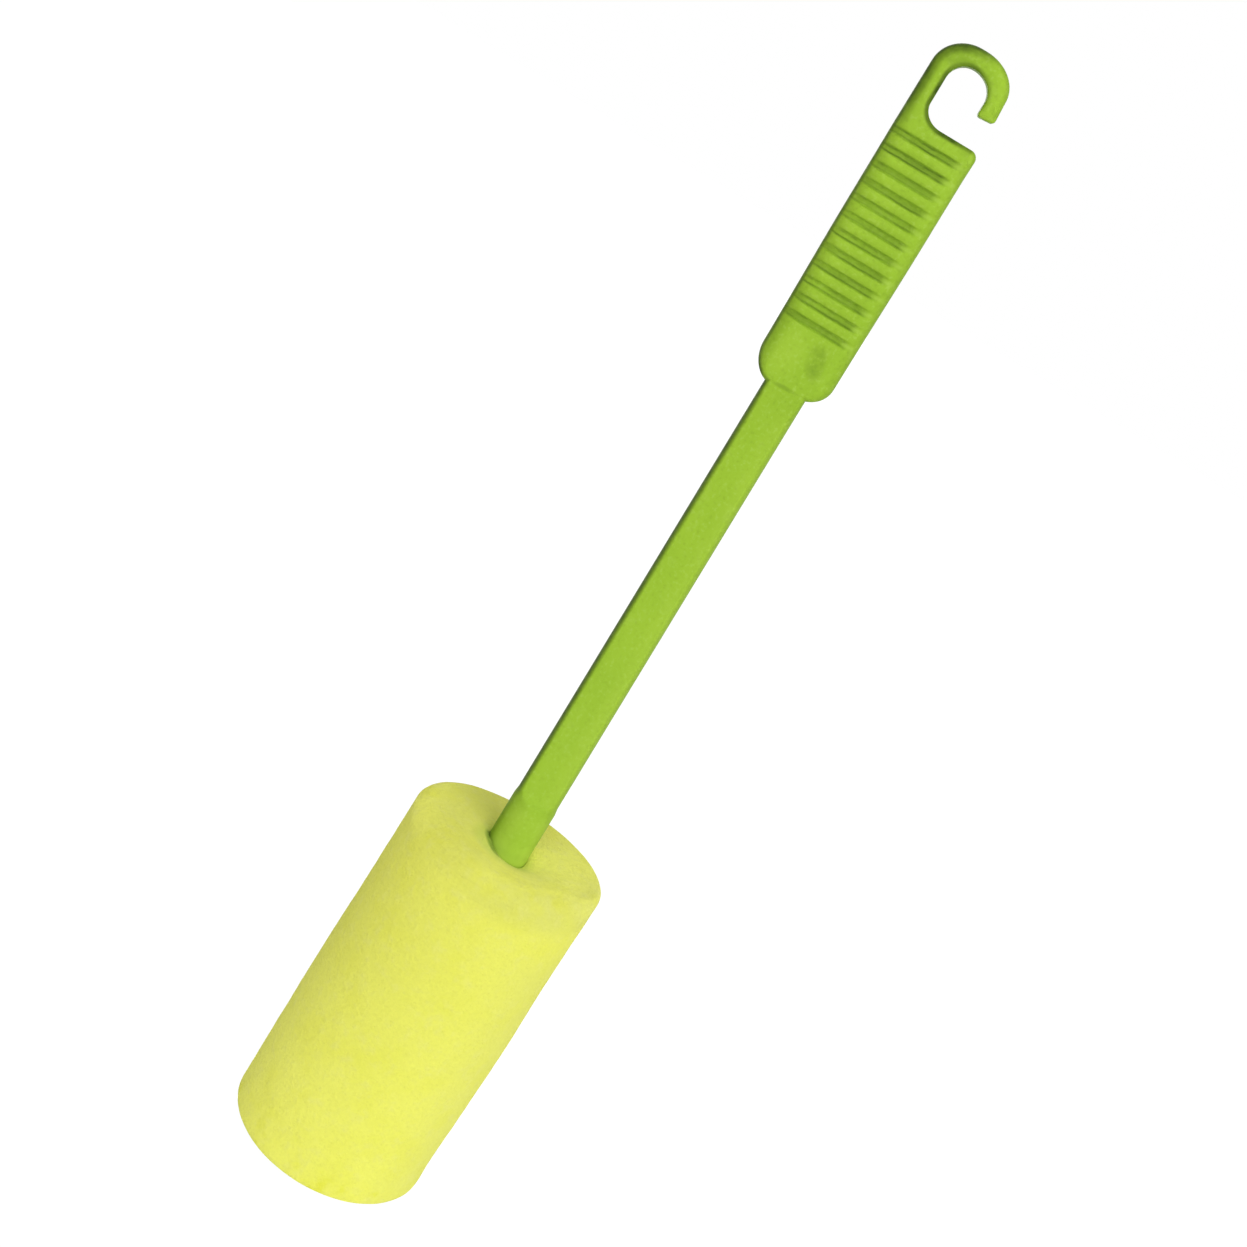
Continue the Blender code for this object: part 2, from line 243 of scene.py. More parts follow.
# Heights and places that follow
FLAT_START_Z = FOAM_TOP_Z + NECK_LENGTH
NECK_TOP_Z = FLAT_START_Z - FLAT_RUNOUT_RADIUS
OPENING_TOP_Z = HOOK_TOP_Z - ARCH_THICKNESS
LEDGE_Z = OPENING_TOP_Z - OPENING_HEIGHT
GRIP_BASE_Z = LEDGE_Z - GRIP_LENGTH
GRIP_END_Z = GRIP_BASE_Z + GRIP_END[1]
TIP_Z = LEDGE_Z + MOUTH_HEIGHT
FIRST_GROOVE_Z = LEDGE_Z - GROOVE_BELOW_LEDGE
LAST_GROOVE_Z = FIRST_GROOVE_Z - (GROOVE_COUNT - 1) * GROOVE_PITCH
GROOVES_TOP_Z = FIRST_GROOVE_Z + GROOVE_WIDTH / 2
LIP_FOOT = (GROOVE_WIDTH - GROOVE_LIP) / 2
SHARPER_FROM_Z = LEDGE_Z - EDGE_SHARPENING
GRIP_LEFT = GRIP_RIGHT - GRIP_WIDTH
GRIP_MIDDLE = (GRIP_LEFT + GRIP_RIGHT) / 2
HOOK_LEFT = GRIP_LEFT + HOOK_SET_IN
OPENING_LEFT = HOOK_LEFT + LEG_WIDTH
OPENING_RIGHT = OPENING_LEFT + OPENING_WIDTH
ARM_RIGHT = OPENING_RIGHT + ARM_WIDTH
BORE_RADIUS = NECK_RADIUS + FIT_GAP

# Camera and light
CAMERA_LENS = 57.74
CAMERA_DISTANCE = 0.4739
CAMERA_AIM = Vector((-0.00408, 0.0, 0.1594))
CAMERA_ELEVATION = math.radians(15.7)
CAMERA_ROLL = math.radians(31.1)
FLOOR_SIZE = 8.0
FLOOR_GLOW = 1.19
FLOOR_GLOW_SHARE = 0.80
WORLD_LIGHT = 0.30
SOFTBOX_DISTANCE = 2.6
SOFTBOX_SIZE = 2.0
LIGHT_AIM = Vector((0.0, 0.0, 0.15))

# Softboxes, as (name, azimuth, elevation, power), the azimuth going round to the camera's right
SOFTBOXES = (
    ("key", 30, 15, 26.0),
    ("side", 65, 4, 12.5),
    ("fill", -15, 4, 17.0),
    ("top", 0, 60, 17.0),
    ("back", 190, 10, 19.0),
)

# Where tones come and go on the handle, as pairs of places or distances from none of it to all of it
ON_FACE_DEPTHS = (0.0010, 0.0030)
FRONT_DEPTHS = (0.0020, 0.0035)
GROOVE_WANDER = 0.00055
GROOVE_RAGGEDNESS = 0.00035
GROOVE_FOOT_LINE = (0.00042, 0.0)
SHADED_PART = (0.0076, 0.0046)
GROOVE_RUN_IN = (0.0048, 0.0066)
GROOVE_RUN_OUT = (0.0092, 0.0078)
TOP_GROOVES_SHADE = (-0.0070, 0.0005)
LAND_ABOVE_GROOVES = 0.0010
SHANK_RIGHT = (0.0, 0.0035)
SHANK_NOT_LEFT = (-0.0042, -0.0025)
SHANK_LOWER_PART = (0.1900, 0.1300)
GRIP_TO_SHANK = 0.0100
NECK_TO_SHANK = 0.0040
NECK_HEIGHTS = (-0.0010, -0.0070)
NECK_FOOT_HEIGHTS = (0.0075, -0.0015)
NECK_END_HEIGHTS = (-0.0004, -0.0030)
NECK_NOT_LEFT = (-0.0056, -0.0030)
NECK_END_NOT_LEFT = (-0.0040, -0.0005)
NECK_MIDDLE = ((-0.0016, 0.0004), (0.0045, 0.0030))
PARTING_LINE = (0.00020, 0.0)

# Where tones come and go on the foam, in the same way. Depths are below the foam's top.
UPPER_DEPTHS = (0.0060, 0.0010)
RIM_DEPTHS = (0.0070, 0.0010)
RIM_FROM_AXIS = (0.0175, 0.0225)
FOOT_HEIGHTS = (0.0150, 0.0030)
CREST_DEPTHS = (0.0002, 0.0009)
CREST_FROM_AXIS = (0.0190, 0.0225)
RIGHT_RIM_DEPTHS = (0.0105, 0.0045)
RIGHT_RIM_REACH = (0.0120, 0.0360)
LEFT_TOP_DEPTHS = (0.0075, 0.0020)
LEFT_TOP_PART = (0.0020, -0.0080)
LEFT_TOP_OUTER = (-0.0270, -0.0140)
RIGHT_SIDE = (0.0110, 0.0245)
RIGHT_SIDE_HEIGHTS = (0.0850, 0.0750)
LOWER_LIGHTER_HEIGHTS = (0.0750, 0.0100)
LOWER_LIGHTER_LEFT = (0.0020, -0.0200)
TURNED_DEPTHS = (0.0120, 0.0040)
TURNING_DRIFT = (0.05, 0.05, 0.0)
GREEN_SHADE_FROM_AXIS = (0.0090, 0.0055)
GREEN_SHADE_DEPTHS = (0.0060, 0.0030)
ON_TOP_DEPTHS = (0.0070, 0.0040)
HALO_SHIFT = (0.0010, 0.0042)
HALO_WIDTH = 0.0046
CREASE_WIDTH = (0.0009, 0.0040)
CREASE_LEFT = (-0.0010, 0.0030)
CREASE_FRONT = (-0.0006, 0.0012)

# Colours, as linear light
GREEN = (0.338, 0.546, 0.038, 1.0)
DEEP_GREEN = (0.305, 0.505, 0.033, 1.0)
PALE_GREEN = (0.400, 0.600, 0.080, 1.0)
# A dark green for specks and for painted shade in the grooves and marks
GRIME_AND_SHADE_GREEN = (0.120, 0.210, 0.018, 1.0)
# A darker green for painted shade along the edges
EDGE_SHADE_GREEN = (0.052, 0.097, 0.008, 1.0)
FOAM_YELLOW = (0.845, 0.855, 0.155, 1.0)
FOAM_DEEP = (0.800, 0.810, 0.060, 1.0)
FOAM_PALE = (0.830, 0.830, 0.290, 1.0)
# A lighter yellow for the lower foam and for painted light on the top
FOAM_LIGHT = (0.915, 0.925, 0.185, 1.0)
# A darker yellow for painted shade, grain and cut lines
FOAM_SHADE_AND_MARKS = (0.600, 0.610, 0.110, 1.0)
# A pale yellow for painted shade on the right
FOAM_PALE_SHADE = (0.625, 0.640, 0.215, 1.0)
# Colours for painted shade round the neck: tinted green by its bounce light, and dark in the crease
FOAM_GREEN_SHADE = (0.480, 0.620, 0.090, 1.0)
NECK_CREASE_SHADE = (0.200, 0.320, 0.030, 1.0)
# Greens for painted light on the handle and painted bounce light from the foam
PAINTED_LIGHT_GREEN = (0.490, 0.705, 0.080, 1.0)
PAINTED_BOUNCE_GREEN = (0.640, 0.860, 0.110, 1.0)
FLOOR_WHITE = (0.86, 0.86, 0.86, 1.0)
SURROUND_WHITE = (1.0, 1.0, 1.0, 1.0)


# Curves

def squared(share, fullness):
    """A sine or cosine made larger, so that an ellipse drawn with it fills its corners."""
    return math.copysign(abs(share) ** (2 / fullness), share)


def arc(centre, radii, start, end, steps=ARC_STEPS, fullness=2.0):
    """Points on an ellipse from one angle to another in degrees. A fullness above 2 fills its corners."""
    points = []
    for step in range(steps + 1):
        angle = math.radians(start + (end - start) * step / steps)
        across = radii[0] * squared(math.cos(angle), fullness)
        up = radii[1] * squared(math.sin(angle), fullness)
        points.append((centre[0] + across, centre[1] + up))
    return points


def ease(share):
    """A share from 0 to 1 that starts and ends gently, and stays within 0 and 1."""
    share = min(max(share, 0.0), 1.0)
    return share * share * (3 - 2 * share)


def rise(value, limits):
    """0 at the first limit and 1 at the second, eased between them. The second may be the lower."""
    return ease((value - limits[0]) / (limits[1] - limits[0]))


def bell(distance, reach):
    """1 at no distance, falling smoothly on both sides."""
    return math.exp(-((distance / reach) ** 2))


def with_edges(points, first, last):
    """Give each outline point the radius of its edge, eased from the first value to the last."""
    steps = max(len(points) - 1, 1)
    return [(x, z, first + (last - first) * ease(i / steps)) for i, (x, z) in enumerate(points)]


def line(start, end, steps=ARC_STEPS):
    """Evenly spaced points from start to end, both included."""
    return [tuple(Vector(start).lerp(Vector(end), i / steps)) for i in range(steps + 1)]


def up_to(start, end):
    """Evenly spaced heights from start up to end, which is left out."""
    return [start + (end - start) * step / ARC_STEPS for step in range(ARC_STEPS)]


def stepped(start, end):
    """A line whose points are close enough to carry the dirt along an edge."""
    return line(start, end, math.ceil(math.dist(start, end) / OUTLINE_STEP))


def drop_repeats(points):
    """An outline without points that lie on the one before, all the way round."""
    kept = []
    for point in points:
        if not kept or math.dist(point[:2], kept[-1][:2]) > 1e-6:
            kept.append(point)
    if math.dist(kept[0][:2], kept[-1][:2]) < 1e-6:
        kept.pop()
    return kept


def soft_least(a, b, softness):
    """The smaller of two lengths, with the corner where they cross rounded off."""
    blend = max(softness - abs(a - b), 0.0) / softness
    return min(a, b) - blend * blend * softness / 4


# Handle

def grip_side_at(side, z):
    """Place of the grip's left (-1) or right (1) side, which leans out towards the ledge."""
    lean = GRIP_TAPER / 2 * (LEDGE_Z - z) / GRIP_LENGTH
    swell = GRIP_SWELL * bell(z - GRIP_SWELL_Z, GRIP_SWELL_REACH)
    return GRIP_MIDDLE + side * (GRIP_WIDTH / 2 - lean + swell)


def groove_depth(x, z):
    """Depth of the finger grooves: none on the lands between them, and less towards the open side."""
    if not GRIP_BASE_Z < z < LEDGE_Z:
        return 0.0
    number = round((FIRST_GROOVE_Z - z) / GROOVE_PITCH)
    number = min(max(number, 0), GROOVE_COUNT - 1)
    away = abs(z - (FIRST_GROOVE_Z - number * GROOVE_PITCH))
    shallow = 1 - GROOVE_FADE * rise(x, GROOVE_FADE_REACH)
    return GROOVE_DEPTH * shallow * ease((GROOVE_WIDTH / 2 + GROOVE_LIP / 2 - away) / GROOVE_LIP)


def grip_heights():
    """Heights of the grip's rows, close together where the lip of a groove bends."""
    heights = up_to(GRIP_END_Z, LAST_GROOVE_Z - GROOVE_PITCH / 2)
    for number in range(GROOVE_COUNT):
        centre = LAST_GROOVE_Z + number * GROOVE_PITCH
        heights += [centre - GROOVE_PITCH / 2, centre]
        for step in range(LIP_STEPS + 1):
            away = GROOVE_WIDTH / 2 + GROOVE_LIP * (step / LIP_STEPS - 0.5)
            heights += [centre - away, centre + away]
    return sorted(heights)


def open_side_edge(z):
    """Radius of the edge on the grip's open side, which sharpens towards the ledge."""
    share = rise(z, (SHARPER_FROM_Z, LEDGE_Z - LEDGE_CORNER_RADIUS))
    return GRIP_SIDE_EDGE + (LEDGE_CORNER_EDGE - GRIP_SIDE_EDGE) * share


def grip_outline():
    """Lower end and open side of the grip, as (x, z, radius of the edge), up to the ledge."""
    corner = LEDGE_CORNER_RADIUS
    left_centre = (grip_side_at(-1, GRIP_END_Z) + GRIP_END[0], GRIP_END_Z)
    left_arc = arc(left_centre, GRIP_END, 180, 270)
    open_centre = (grip_side_at(1, GRIP_END_Z) - OPEN_END[0], GRIP_BASE_Z + OPEN_END[1])
    open_arc = arc(open_centre, OPEN_END, 270, 360, fullness=OPEN_END_FULLNESS)
    outline = with_edges(left_arc, GRIP_SIDE_EDGE, GRIP_END_EDGE)
    outline += with_edges(open_arc, GRIP_END_EDGE, GRIP_SIDE_EDGE)
    heights = grip_heights()
    heights += [z for _, z in line((0, heights[-1]), (0, LEDGE_Z - corner))[1:]]
    outline += [(grip_side_at(1, z), z, open_side_edge(z)) for z in heights]
    ledge_corner = arc((GRIP_RIGHT - corner, LEDGE_Z - corner), (corner, corner), 0, 90)
    return outline + with_edges(ledge_corner, LEDGE_CORNER_EDGE, LEDGE_CORNER_EDGE)


def opening_outline():
    """The hook's opening, from the ledge up the leg, under the arch and down to the tip."""
    tip = TIP_CORNER_RADIUS
    crown_x = OPENING_LEFT + OPENING_CROWN_FROM_LEG
    fillet_centre = (OPENING_LEFT + OPENING_FILLET[0], LEDGE_Z + OPENING_FILLET[1])
    ledge = stepped((GRIP_RIGHT - LEDGE_CORNER_RADIUS, LEDGE_Z), (fillet_centre[0], LEDGE_Z))
    opening = arc(fillet_centre, OPENING_FILLET, 270, 180)
    leg_shoulder_z = OPENING_TOP_Z - OPENING_LEG_SHOULDER
    arm_shoulder_z = OPENING_TOP_Z - OPENING_ARM_SHOULDER
    opening += stepped((OPENING_LEFT, fillet_centre[1]), (OPENING_LEFT, leg_shoulder_z))
    opening += arc((crown_x, leg_shoulder_z), (OPENING_CROWN_FROM_LEG, OPENING_LEG_SHOULDER), 180, 90)
    opening += arc((crown_x, arm_shoulder_z), (OPENING_RIGHT - crown_x, OPENING_ARM_SHOULDER), 90, 0)
    outline = with_edges(ledge, LEDGE_CORNER_EDGE, SMALL_EDGE)
    outline += with_edges(opening, SMALL_EDGE, SMALL_EDGE)
    inner_side = line((OPENING_RIGHT, arm_shoulder_z), (OPENING_RIGHT, TIP_Z + tip), TIP_SIDE_ROWS)
    outline += with_edges(inner_side[1:], SMALL_EDGE, TIP_EDGE)
    tip_inner = arc((OPENING_RIGHT + tip, TIP_Z + tip), (tip, tip), 180, 270)
    return outline + with_edges(tip_inner, TIP_EDGE, TIP_EDGE)


def hook_back_outline():
    """The hook's outer side, from the tip up the arm, over the arch and down the leg to the grip."""
    tip = TIP_CORNER_RADIUS
    arm_outer = ARM_RIGHT + TIP_FLARE
    arch_z = HOOK_TOP_Z - ARCH_SHOULDER_HEIGHT
    leg_crown = HOOK_LEFT + ARCH_CROWN_FROM_LEG
    arm_crown = leg_crown + ARCH_CROWN_WIDTH
    tip_end = stepped((OPENING_RIGHT + tip, TIP_Z), (arm_outer - tip, TIP_Z + TIP_RISE))
    tip_end += arc((arm_outer - tip, TIP_Z + TIP_RISE + tip), (tip, tip), 270, 360)
    outline = with_edges(tip_end, TIP_EDGE, TIP_EDGE)
    arm = line((arm_outer, TIP_Z + TIP_RISE + tip), (ARM_RIGHT, arch_z))
    outline += with_edges(arm, TIP_EDGE, HOOK_EDGE)
    arch = arc((arm_crown, arch_z), (ARM_RIGHT - arm_crown, ARCH_SHOULDER_HEIGHT), 0, 90)
    arch += arc((leg_crown, arch_z), (ARCH_CROWN_FROM_LEG, ARCH_SHOULDER_HEIGHT), 90, 180)
    outline += with_edges(arch, HOOK_EDGE, HOOK_EDGE)
    heights = grip_heights()[::-1]
    leg_foot = (grip_side_at(-1, heights[0]), heights[0])
    outline += with_edges(stepped((HOOK_LEFT, arch_z), leg_foot), HOOK_EDGE, GRIP_SIDE_EDGE)
    return outline + [(grip_side_at(-1, z), z, GRIP_SIDE_EDGE) for z in heights]


def inward_normals(outline):
    """Unit normals into an anticlockwise outline, from the neighbours on each side of a point."""
    normals = []
    for i, (x, z, _) in enumerate(outline):
        before = Vector((x - outline[i - 1][0], z - outline[i - 1][1])).normalized()
        follow = outline[(i + 1) % len(outline)]
        after = Vector((follow[0] - x, follow[1] - z)).normalized()
        along = (before + after).normalized()
        normals.append(Vector((-along.y, along.x)))
    return normals


def sink_mark(x, z):
    """Depth of the shallow hollow that the thick end of the grip leaves as it cools."""
    centre, reach, slant = SINK_MARK
    up = (z - centre[1]) / reach[1]
    across = (x - centre[0]) / reach[0] + slant * up
    return SINK_MARK_DEPTH * math.exp(-across * across - up * up)


def line_of(inset, limits):
    """1 on the edge, as far in as the first limit, and 0 beyond the second."""
    return rise(inset, limits[::-1])


def rounded_edge_shade(z, outward, inset):
    """Painted shade on a rounded edge, most where it faces left, away from the light, with a broad slope of
    it round the hook.
    """
    upward = max(outward.y, 0.0)
    leftward = ease(ROUNDED_TURN[1] * upward - ROUNDED_TURN[0] * outward.x)
    darkness = ROUNDED_SHADE + ROUNDED_UPPER_SHADE * upward + ROUNDED_LEFT_SHADE * leftward
    darkness *= line_of(inset, ROUNDED_LINE)
    by_hook = rise(z, (LEDGE_Z - HOOK_SLOPE_REACH, LEDGE_Z + HOOK_SLOPE_REACH))
    slope = HOOK_SLOPE_SHADE * leftward * by_hook * line_of(inset, HOOK_SLOPE)
    return darkness + (1 - darkness) * slope


def crisp_edge_shade(x, z, outward, inset):
    """Painted shade on a crisp edge, thinner where it faces sideways or down, towards the right and by the
    tip.
    """
    kept_shade = 1 - RIGHTWARD_LESS_SHADE * rise(x, RIGHTWARD_FROM_X)
    if x > 0 and z > LEDGE_Z + MOUTH_HEIGHT / 2:
        kept_shade *= 1 - TIP_LESS_SHADE * rise(z - TIP_Z, TIP_LESS_SHADE_HEIGHTS)
    waist = bell(z - LEG_WAIST_Z, LEG_WAIST_REACH)
    lessened = RIGHT_FACING_LESS_SHADE * max(outward.x, 0.0) * (1 - waist) + DOWN_FACING_LESS_SHADE * max(-outward.y, 0.0)
    darkness = CRISP_LEFT_SHADE + (CRISP_OTHER_SHADE - CRISP_LEFT_SHADE) * ease(1 + CRISP_TURN * outward.x)
    if inset == 0:
        darkness *= CRISP_OUTERMOST
    return darkness * (1 - lessened) * kept_shade * line_of(inset, CRISP_LINE)


def painted_edge_shade(x, z, outward, radius, inset):
    """Painted shade this far in from the outline, on an edge of this radius."""
    crisp = rise(radius, CRISP_RADII[::-1])
    darkness = (1 - crisp) * rounded_edge_shade(z, outward, inset)
    return darkness + crisp * crisp_edge_shade(x, z, outward, inset)


def shade_kept_to_front(y):
    """Share of the left side's painted shade that stays, less towards the back."""
    return 1 - BACK_FADE_SHARE * rise(y, BACK_FADE_DEPTHS)


def shade_kept_on_left(y, outward):
    """The same share for the slab's edge, and all of the painted shade where the edge doesn't face left."""
    return 1 - (1 - shade_kept_to_front(y)) * ease(-BACK_FADE_TURN * outward.x)


def shank_side_shade(place, radius):
    """Painted shade down the shank's sides, most on its left, away from the light, which thins out on the
    neck and towards the back.
    """
    darkness = SHANK_SHADE + SHANK_LEFT_SHADE if place[0] < 0 else SHANK_SHADE
    on_neck = rise(place[2], (FLAT_START_Z, NECK_TOP_Z))
    darkness *= (1 - NECK_LESS_SHADE * on_neck) * shade_kept_to_front(place[1])
    return darkness * line_of(radius - abs(place[0]), SHANK_LINE)


def nearest_on(polygon, point):
    """Distance from a closed polygon, and the number of its corner that is nearest to that place."""
    along = np.roll(polygon, -1, axis=0) - polygon
    offset = np.array(point) - polygon
    share = np.clip((offset * along).sum(1) / np.maximum((along * along).sum(1), 1e-18), 0, 1)
    distances = np.hypot(*(offset - along * share[:, None]).T)
    side = int(distances.argmin())
    return float(distances[side]), (side + round(float(share[side]))) % len(polygon)


def is_inside(polygon, point):
    """Whether a ray from the point crosses the closed polygon an odd number of times."""
    after = np.roll(polygon, -1, axis=0)
    climb = after[:, 1] - polygon[:, 1]
    crosses = (polygon[:, 1] > point[1]) != (after[:, 1] > point[1])
    share = (point[1] - polygon[:, 1]) / np.where(climb == 0, 1, climb)
    reach = polygon[:, 0] + (after[:, 0] - polygon[:, 0]) * share
    return (crosses & (point[0] < reach)).sum() % 2 == 1


def face_triangles(rim, normals):
    """Spots and triangles of the slab's flat face: lines inside its rim and a grid for the grooves."""
    polygon = np.array(rim)
    rows = up_to(GRIP_BASE_Z + GRIP_END_EDGE, GRIP_END_Z) + grip_heights()
    rows += [float(z) for z in np.arange(rows[-1] + GRIP_COLUMN, HOOK_TOP_Z, GRIP_COLUMN)]
    columns = np.arange(GRIP_LEFT + GRIP_COLUMN, GRIP_RIGHT, GRIP_COLUMN)
    spots = [((float(x), z), GRID_MARGIN * GRIP_COLUMN) for z in rows for x in columns]
    for inset in EDGE_INSETS:
        for (x, z), normal in zip(rim, normals):
            spots.append(((x + normal.x * inset, z + normal.y * inset), EDGE_MARGIN * inset))
    kept = [spot for spot, margin in spots
            if is_inside(polygon, spot) and nearest_on(polygon, spot)[0] > margin]
    flat = [Vector((x, z)) * 1000 for x, z in rim + kept]
    _, _, triangles, origins, _, _ = delaunay_2d_cdt(flat, [], [list(range(len(rim)))], 1, 1e-6)
    return kept, [[origins[corner][0] for corner in triangle] for triangle in triangles]


def slab_vert(bm, place, corner, normal, inset):
    """A vertex with the painted edge shade it takes on this far in from a corner of the outline."""
    x, z, radius = corner
    darkness = painted_edge_shade(x, z, -normal, radius, inset) * shade_kept_on_left(place[1], -normal)
    vert = bm.verts.new(place)
    vert[bm.verts.layers.float[EDGE_SHADE_ATTRIBUTE]] = darkness
    return vert


def build_slab():
    """Grip and hook: an outline whose edges round over, with the grooves pressed into both faces."""
    outline = drop_repeats(grip_outline() + opening_outline() + hook_back_outline())
    normals = inward_normals(outline)
    bm = bmesh.new()
    bm.verts.layers.float.new(EDGE_SHADE_ATTRIBUTE)
    rings = []
    turns = [(-1, step) for step in range(EDGE_STEPS, -1, -1)] + [(0, 0)]
    turns += [(1, step) for step in range(EDGE_STEPS + 1)]
    for face, step in turns:
        angle = math.radians(90 * step / EDGE_STEPS)
        ring = []
        for (x, z, radius), normal in zip(outline, normals):
            inset = radius * (1 - math.cos(angle))
            place_x = x + normal.x * inset
            y = HALF_GRIP - radius + (radius - groove_depth(place_x, z)) * math.sin(angle)
            place = (place_x, face * y, z + normal.y * inset)
            ring.append(slab_vert(bm, place, (x, z, radius), normal, inset))
        rings.append(ring)
    join_rings(bm, rings, len(outline))

    rim = [(vert.co.x, vert.co.z) for vert in rings[-1]]
    grid, triangles = face_triangles(rim, normals)
    polygon = np.array([(x, z) for x, z, _ in outline])
    for face, ring in ((-1, rings[0]), (1, rings[-1])):
        inner = []
        for x, z in grid:
            y = HALF_GRIP - groove_depth(x, z)
            if face < 0:
                y -= sink_mark(x, z)
            inset, near = nearest_on(polygon, (x, z))
            inner.append(slab_vert(bm, (x, face * y, z), outline[near], normals[near], inset))
        verts = ring + inner
        for triangle in triangles:
            bm.faces.new([verts[corner] for corner in triangle])
    return finish_mesh("grip_and_hook", bm)


def spigot_rows(gap=0.0):
    """(radius, height) up the barbed spigot to the neck, grown by a gap for the foam's bore."""
    core = SPIGOT_CORE_RADIUS + gap
    barb = BARB_RADIUS + gap
    shoulder_z = FOAM_TOP_Z - NECK_SINK
    rows = [(0.0, SPIGOT_TIP_Z - gap), (SPIGOT_POINT_RADIUS + gap, SPIGOT_TIP_Z - gap)]
    for number in range(BARB_COUNT):
        root_z = shoulder_z - (BARB_COUNT - number) * BARB_PITCH
        rows.append((core, root_z - gap))
        rows.append((barb, root_z + BARB_RAMP - gap))
        rows.append((barb, root_z + BARB_RAMP + gap))
        rows.append((core, root_z + BARB_RAMP + BARB_UNDERCUT + gap))
    rows.append((core, shoulder_z - gap))
    rows.append((NECK_RADIUS + gap, shoulder_z - gap))
    return drop_repeats(rows)


def shank_rows():
    """(radius, depth of the flats, height) from the spigot's tip to the rod's end in the grip."""
    rows = [(radius, radius + FLAT_CORNER_RADIUS, z) for radius, z in spigot_rows()]
    for _, z in line((0, rows[-1][2]), (0, NECK_TOP_Z), NECK_ROWS)[1:]:
        rows.append((NECK_RADIUS, NECK_RADIUS + FLAT_CORNER_RADIUS, z))
    for y, z in arc((HALF_SHANK + FLAT_RUNOUT_RADIUS, FLAT_START_Z), (FLAT_RUNOUT_RADIUS,) * 2, 270, 180):
        share = NECK_SHOULDER_STEEPNESS * (z - NECK_TOP_Z) / FLAT_RUNOUT_RADIUS
        radius = NECK_RADIUS + (SHANK_RADIUS_AT_NECK - NECK_RADIUS) * ease(share)
        rows.append((radius, min(y, radius + FLAT_CORNER_RADIUS), z))
    rod = line((SHANK_RADIUS_AT_NECK, FLAT_START_Z), (SHANK_RADIUS_AT_GRIP, GRIP_BASE_Z), SHANK_ROWS)
    for radius, z in rod[1:]:
        raised = ease(1 - (GRIP_BASE_Z - z) / SHANK_BLEND) * SHANK_BLEND_RISE
        rows.append((radius, HALF_SHANK + raised, z))
    root = HALF_SHANK + SHANK_BLEND_RISE
    rows.append((SHANK_RADIUS_AT_GRIP, root, GRIP_BASE_Z + GRIP_END_EDGE))
    rows.append((SHANK_RADIUS_AT_GRIP, HALF_SHANK, GRIP_BASE_Z + SHANK_ROOT))
    rows.append((0.0, root, GRIP_BASE_Z + SHANK_ROOT))
    return rows


def build_shank():
    """Spigot, round neck and tapering rod, with the front and back flats and their curved run-outs."""
    bm = bmesh.new()
    shade_layer = bm.verts.layers.float.new(EDGE_SHADE_ATTRIBUTE)
    rings = []
    for radius, half, z in shank_rows():
        if radius == 0:
            rings.append([bm.verts.new((0, 0, z))])
            continue
        square = SHANK_SQUARENESS * ease((z - NECK_TOP_Z) / FLAT_RUNOUT_RADIUS)
        square += (SHANK_END_SQUARENESS - SHANK_SQUARENESS) * ease(1 - (GRIP_BASE_Z - z) / SHANK_BLEND)
        ring = []
        for side in range(SHANK_SIDES):
            angle = 2 * math.pi * side / SHANK_SIDES
            x = squared(math.cos(angle), 2 / (1 - square)) * radius
            depth = abs(math.sin(angle)) ** (1 - square) * radius
            y = math.copysign(soft_least(depth, half, FLAT_CORNER_RADIUS), math.sin(angle))
            vert = bm.verts.new((x, y, z))
            vert[shade_layer] = shank_side_shade((x, y, z), radius)
            ring.append(vert)
        rings.append(ring)
    join_rings(bm, rings, SHANK_SIDES)
    return finish_mesh("shank", bm)


def join_rings(bm, rings, sides):
    """Faces between each ring and the next, a ring of one point being a tip."""
    for lower, upper in zip(rings, rings[1:]):
        for side in range(sides):
            after = (side + 1) % sides
            corners = [lower[side % len(lower)], lower[after % len(lower)]]
            corners += [upper[after % len(upper)], upper[side % len(upper)]]
            bm.faces.new(list(dict.fromkeys(corners)))


def finish_mesh(name, bm):
    """An object in the scene from a bmesh, its normals turned outwards."""
    bmesh.ops.recalc_face_normals(bm, faces=bm.faces)
    mesh = bpy.data.meshes.new(name)
    bm.to_mesh(mesh)
    bm.free()
    piece = bpy.data.objects.new(name, mesh)
    bpy.context.scene.collection.objects.link(piece)
    return piece


def shade_round(piece, angle_degrees):
    """Shade smoothly over all edges but those that bend by more than the angle."""
    piece.data.shade_smooth()
    piece.data.set_sharp_from_angle(angle=math.radians(angle_degrees))


def read_shade(piece):
    """The place and painted edge shade of each vertex."""
    values = piece.data.attributes[EDGE_SHADE_ATTRIBUTE].data
    return [(vert.co.copy(), value.value) for vert, value in zip(piece.data.vertices, values)]


def write_shade(piece, darkness):
    """Give each vertex the value of the nearest one from before the join."""
    tree = KDTree(len(darkness))
    for number, (place, _) in enumerate(darkness):
        tree.insert(place, number)
    tree.balance()
    values = piece.data.attributes[EDGE_SHADE_ATTRIBUTE].data
    for vert, value in zip(piece.data.vertices, values):
        value.value = darkness[tree.find(vert.co)[1]][1]


def build_handle():
    """One moulding: the shank is joined into the slab of the grip and hook."""
    handle = build_slab()
    shank = build_shank()
    darkness = read_shade(handle) + read_shade(shank)
    joint = handle.modifiers.new("shank", "BOOLEAN")
    joint.object = shank
    joint.operation = "UNION"
    joint.solver = "EXACT"
    evaluated = handle.evaluated_get(bpy.context.evaluated_depsgraph_get())
    joined = bpy.data.meshes.new_from_object(evaluated)
    handle.modifiers.clear()
    handle.data = joined
    bpy.data.objects.remove(shank)
    write_shade(handle, darkness)
    handle.name = "moulded_handle"
    shade_round(handle, HANDLE_CREASE)
    return handle


# Foam

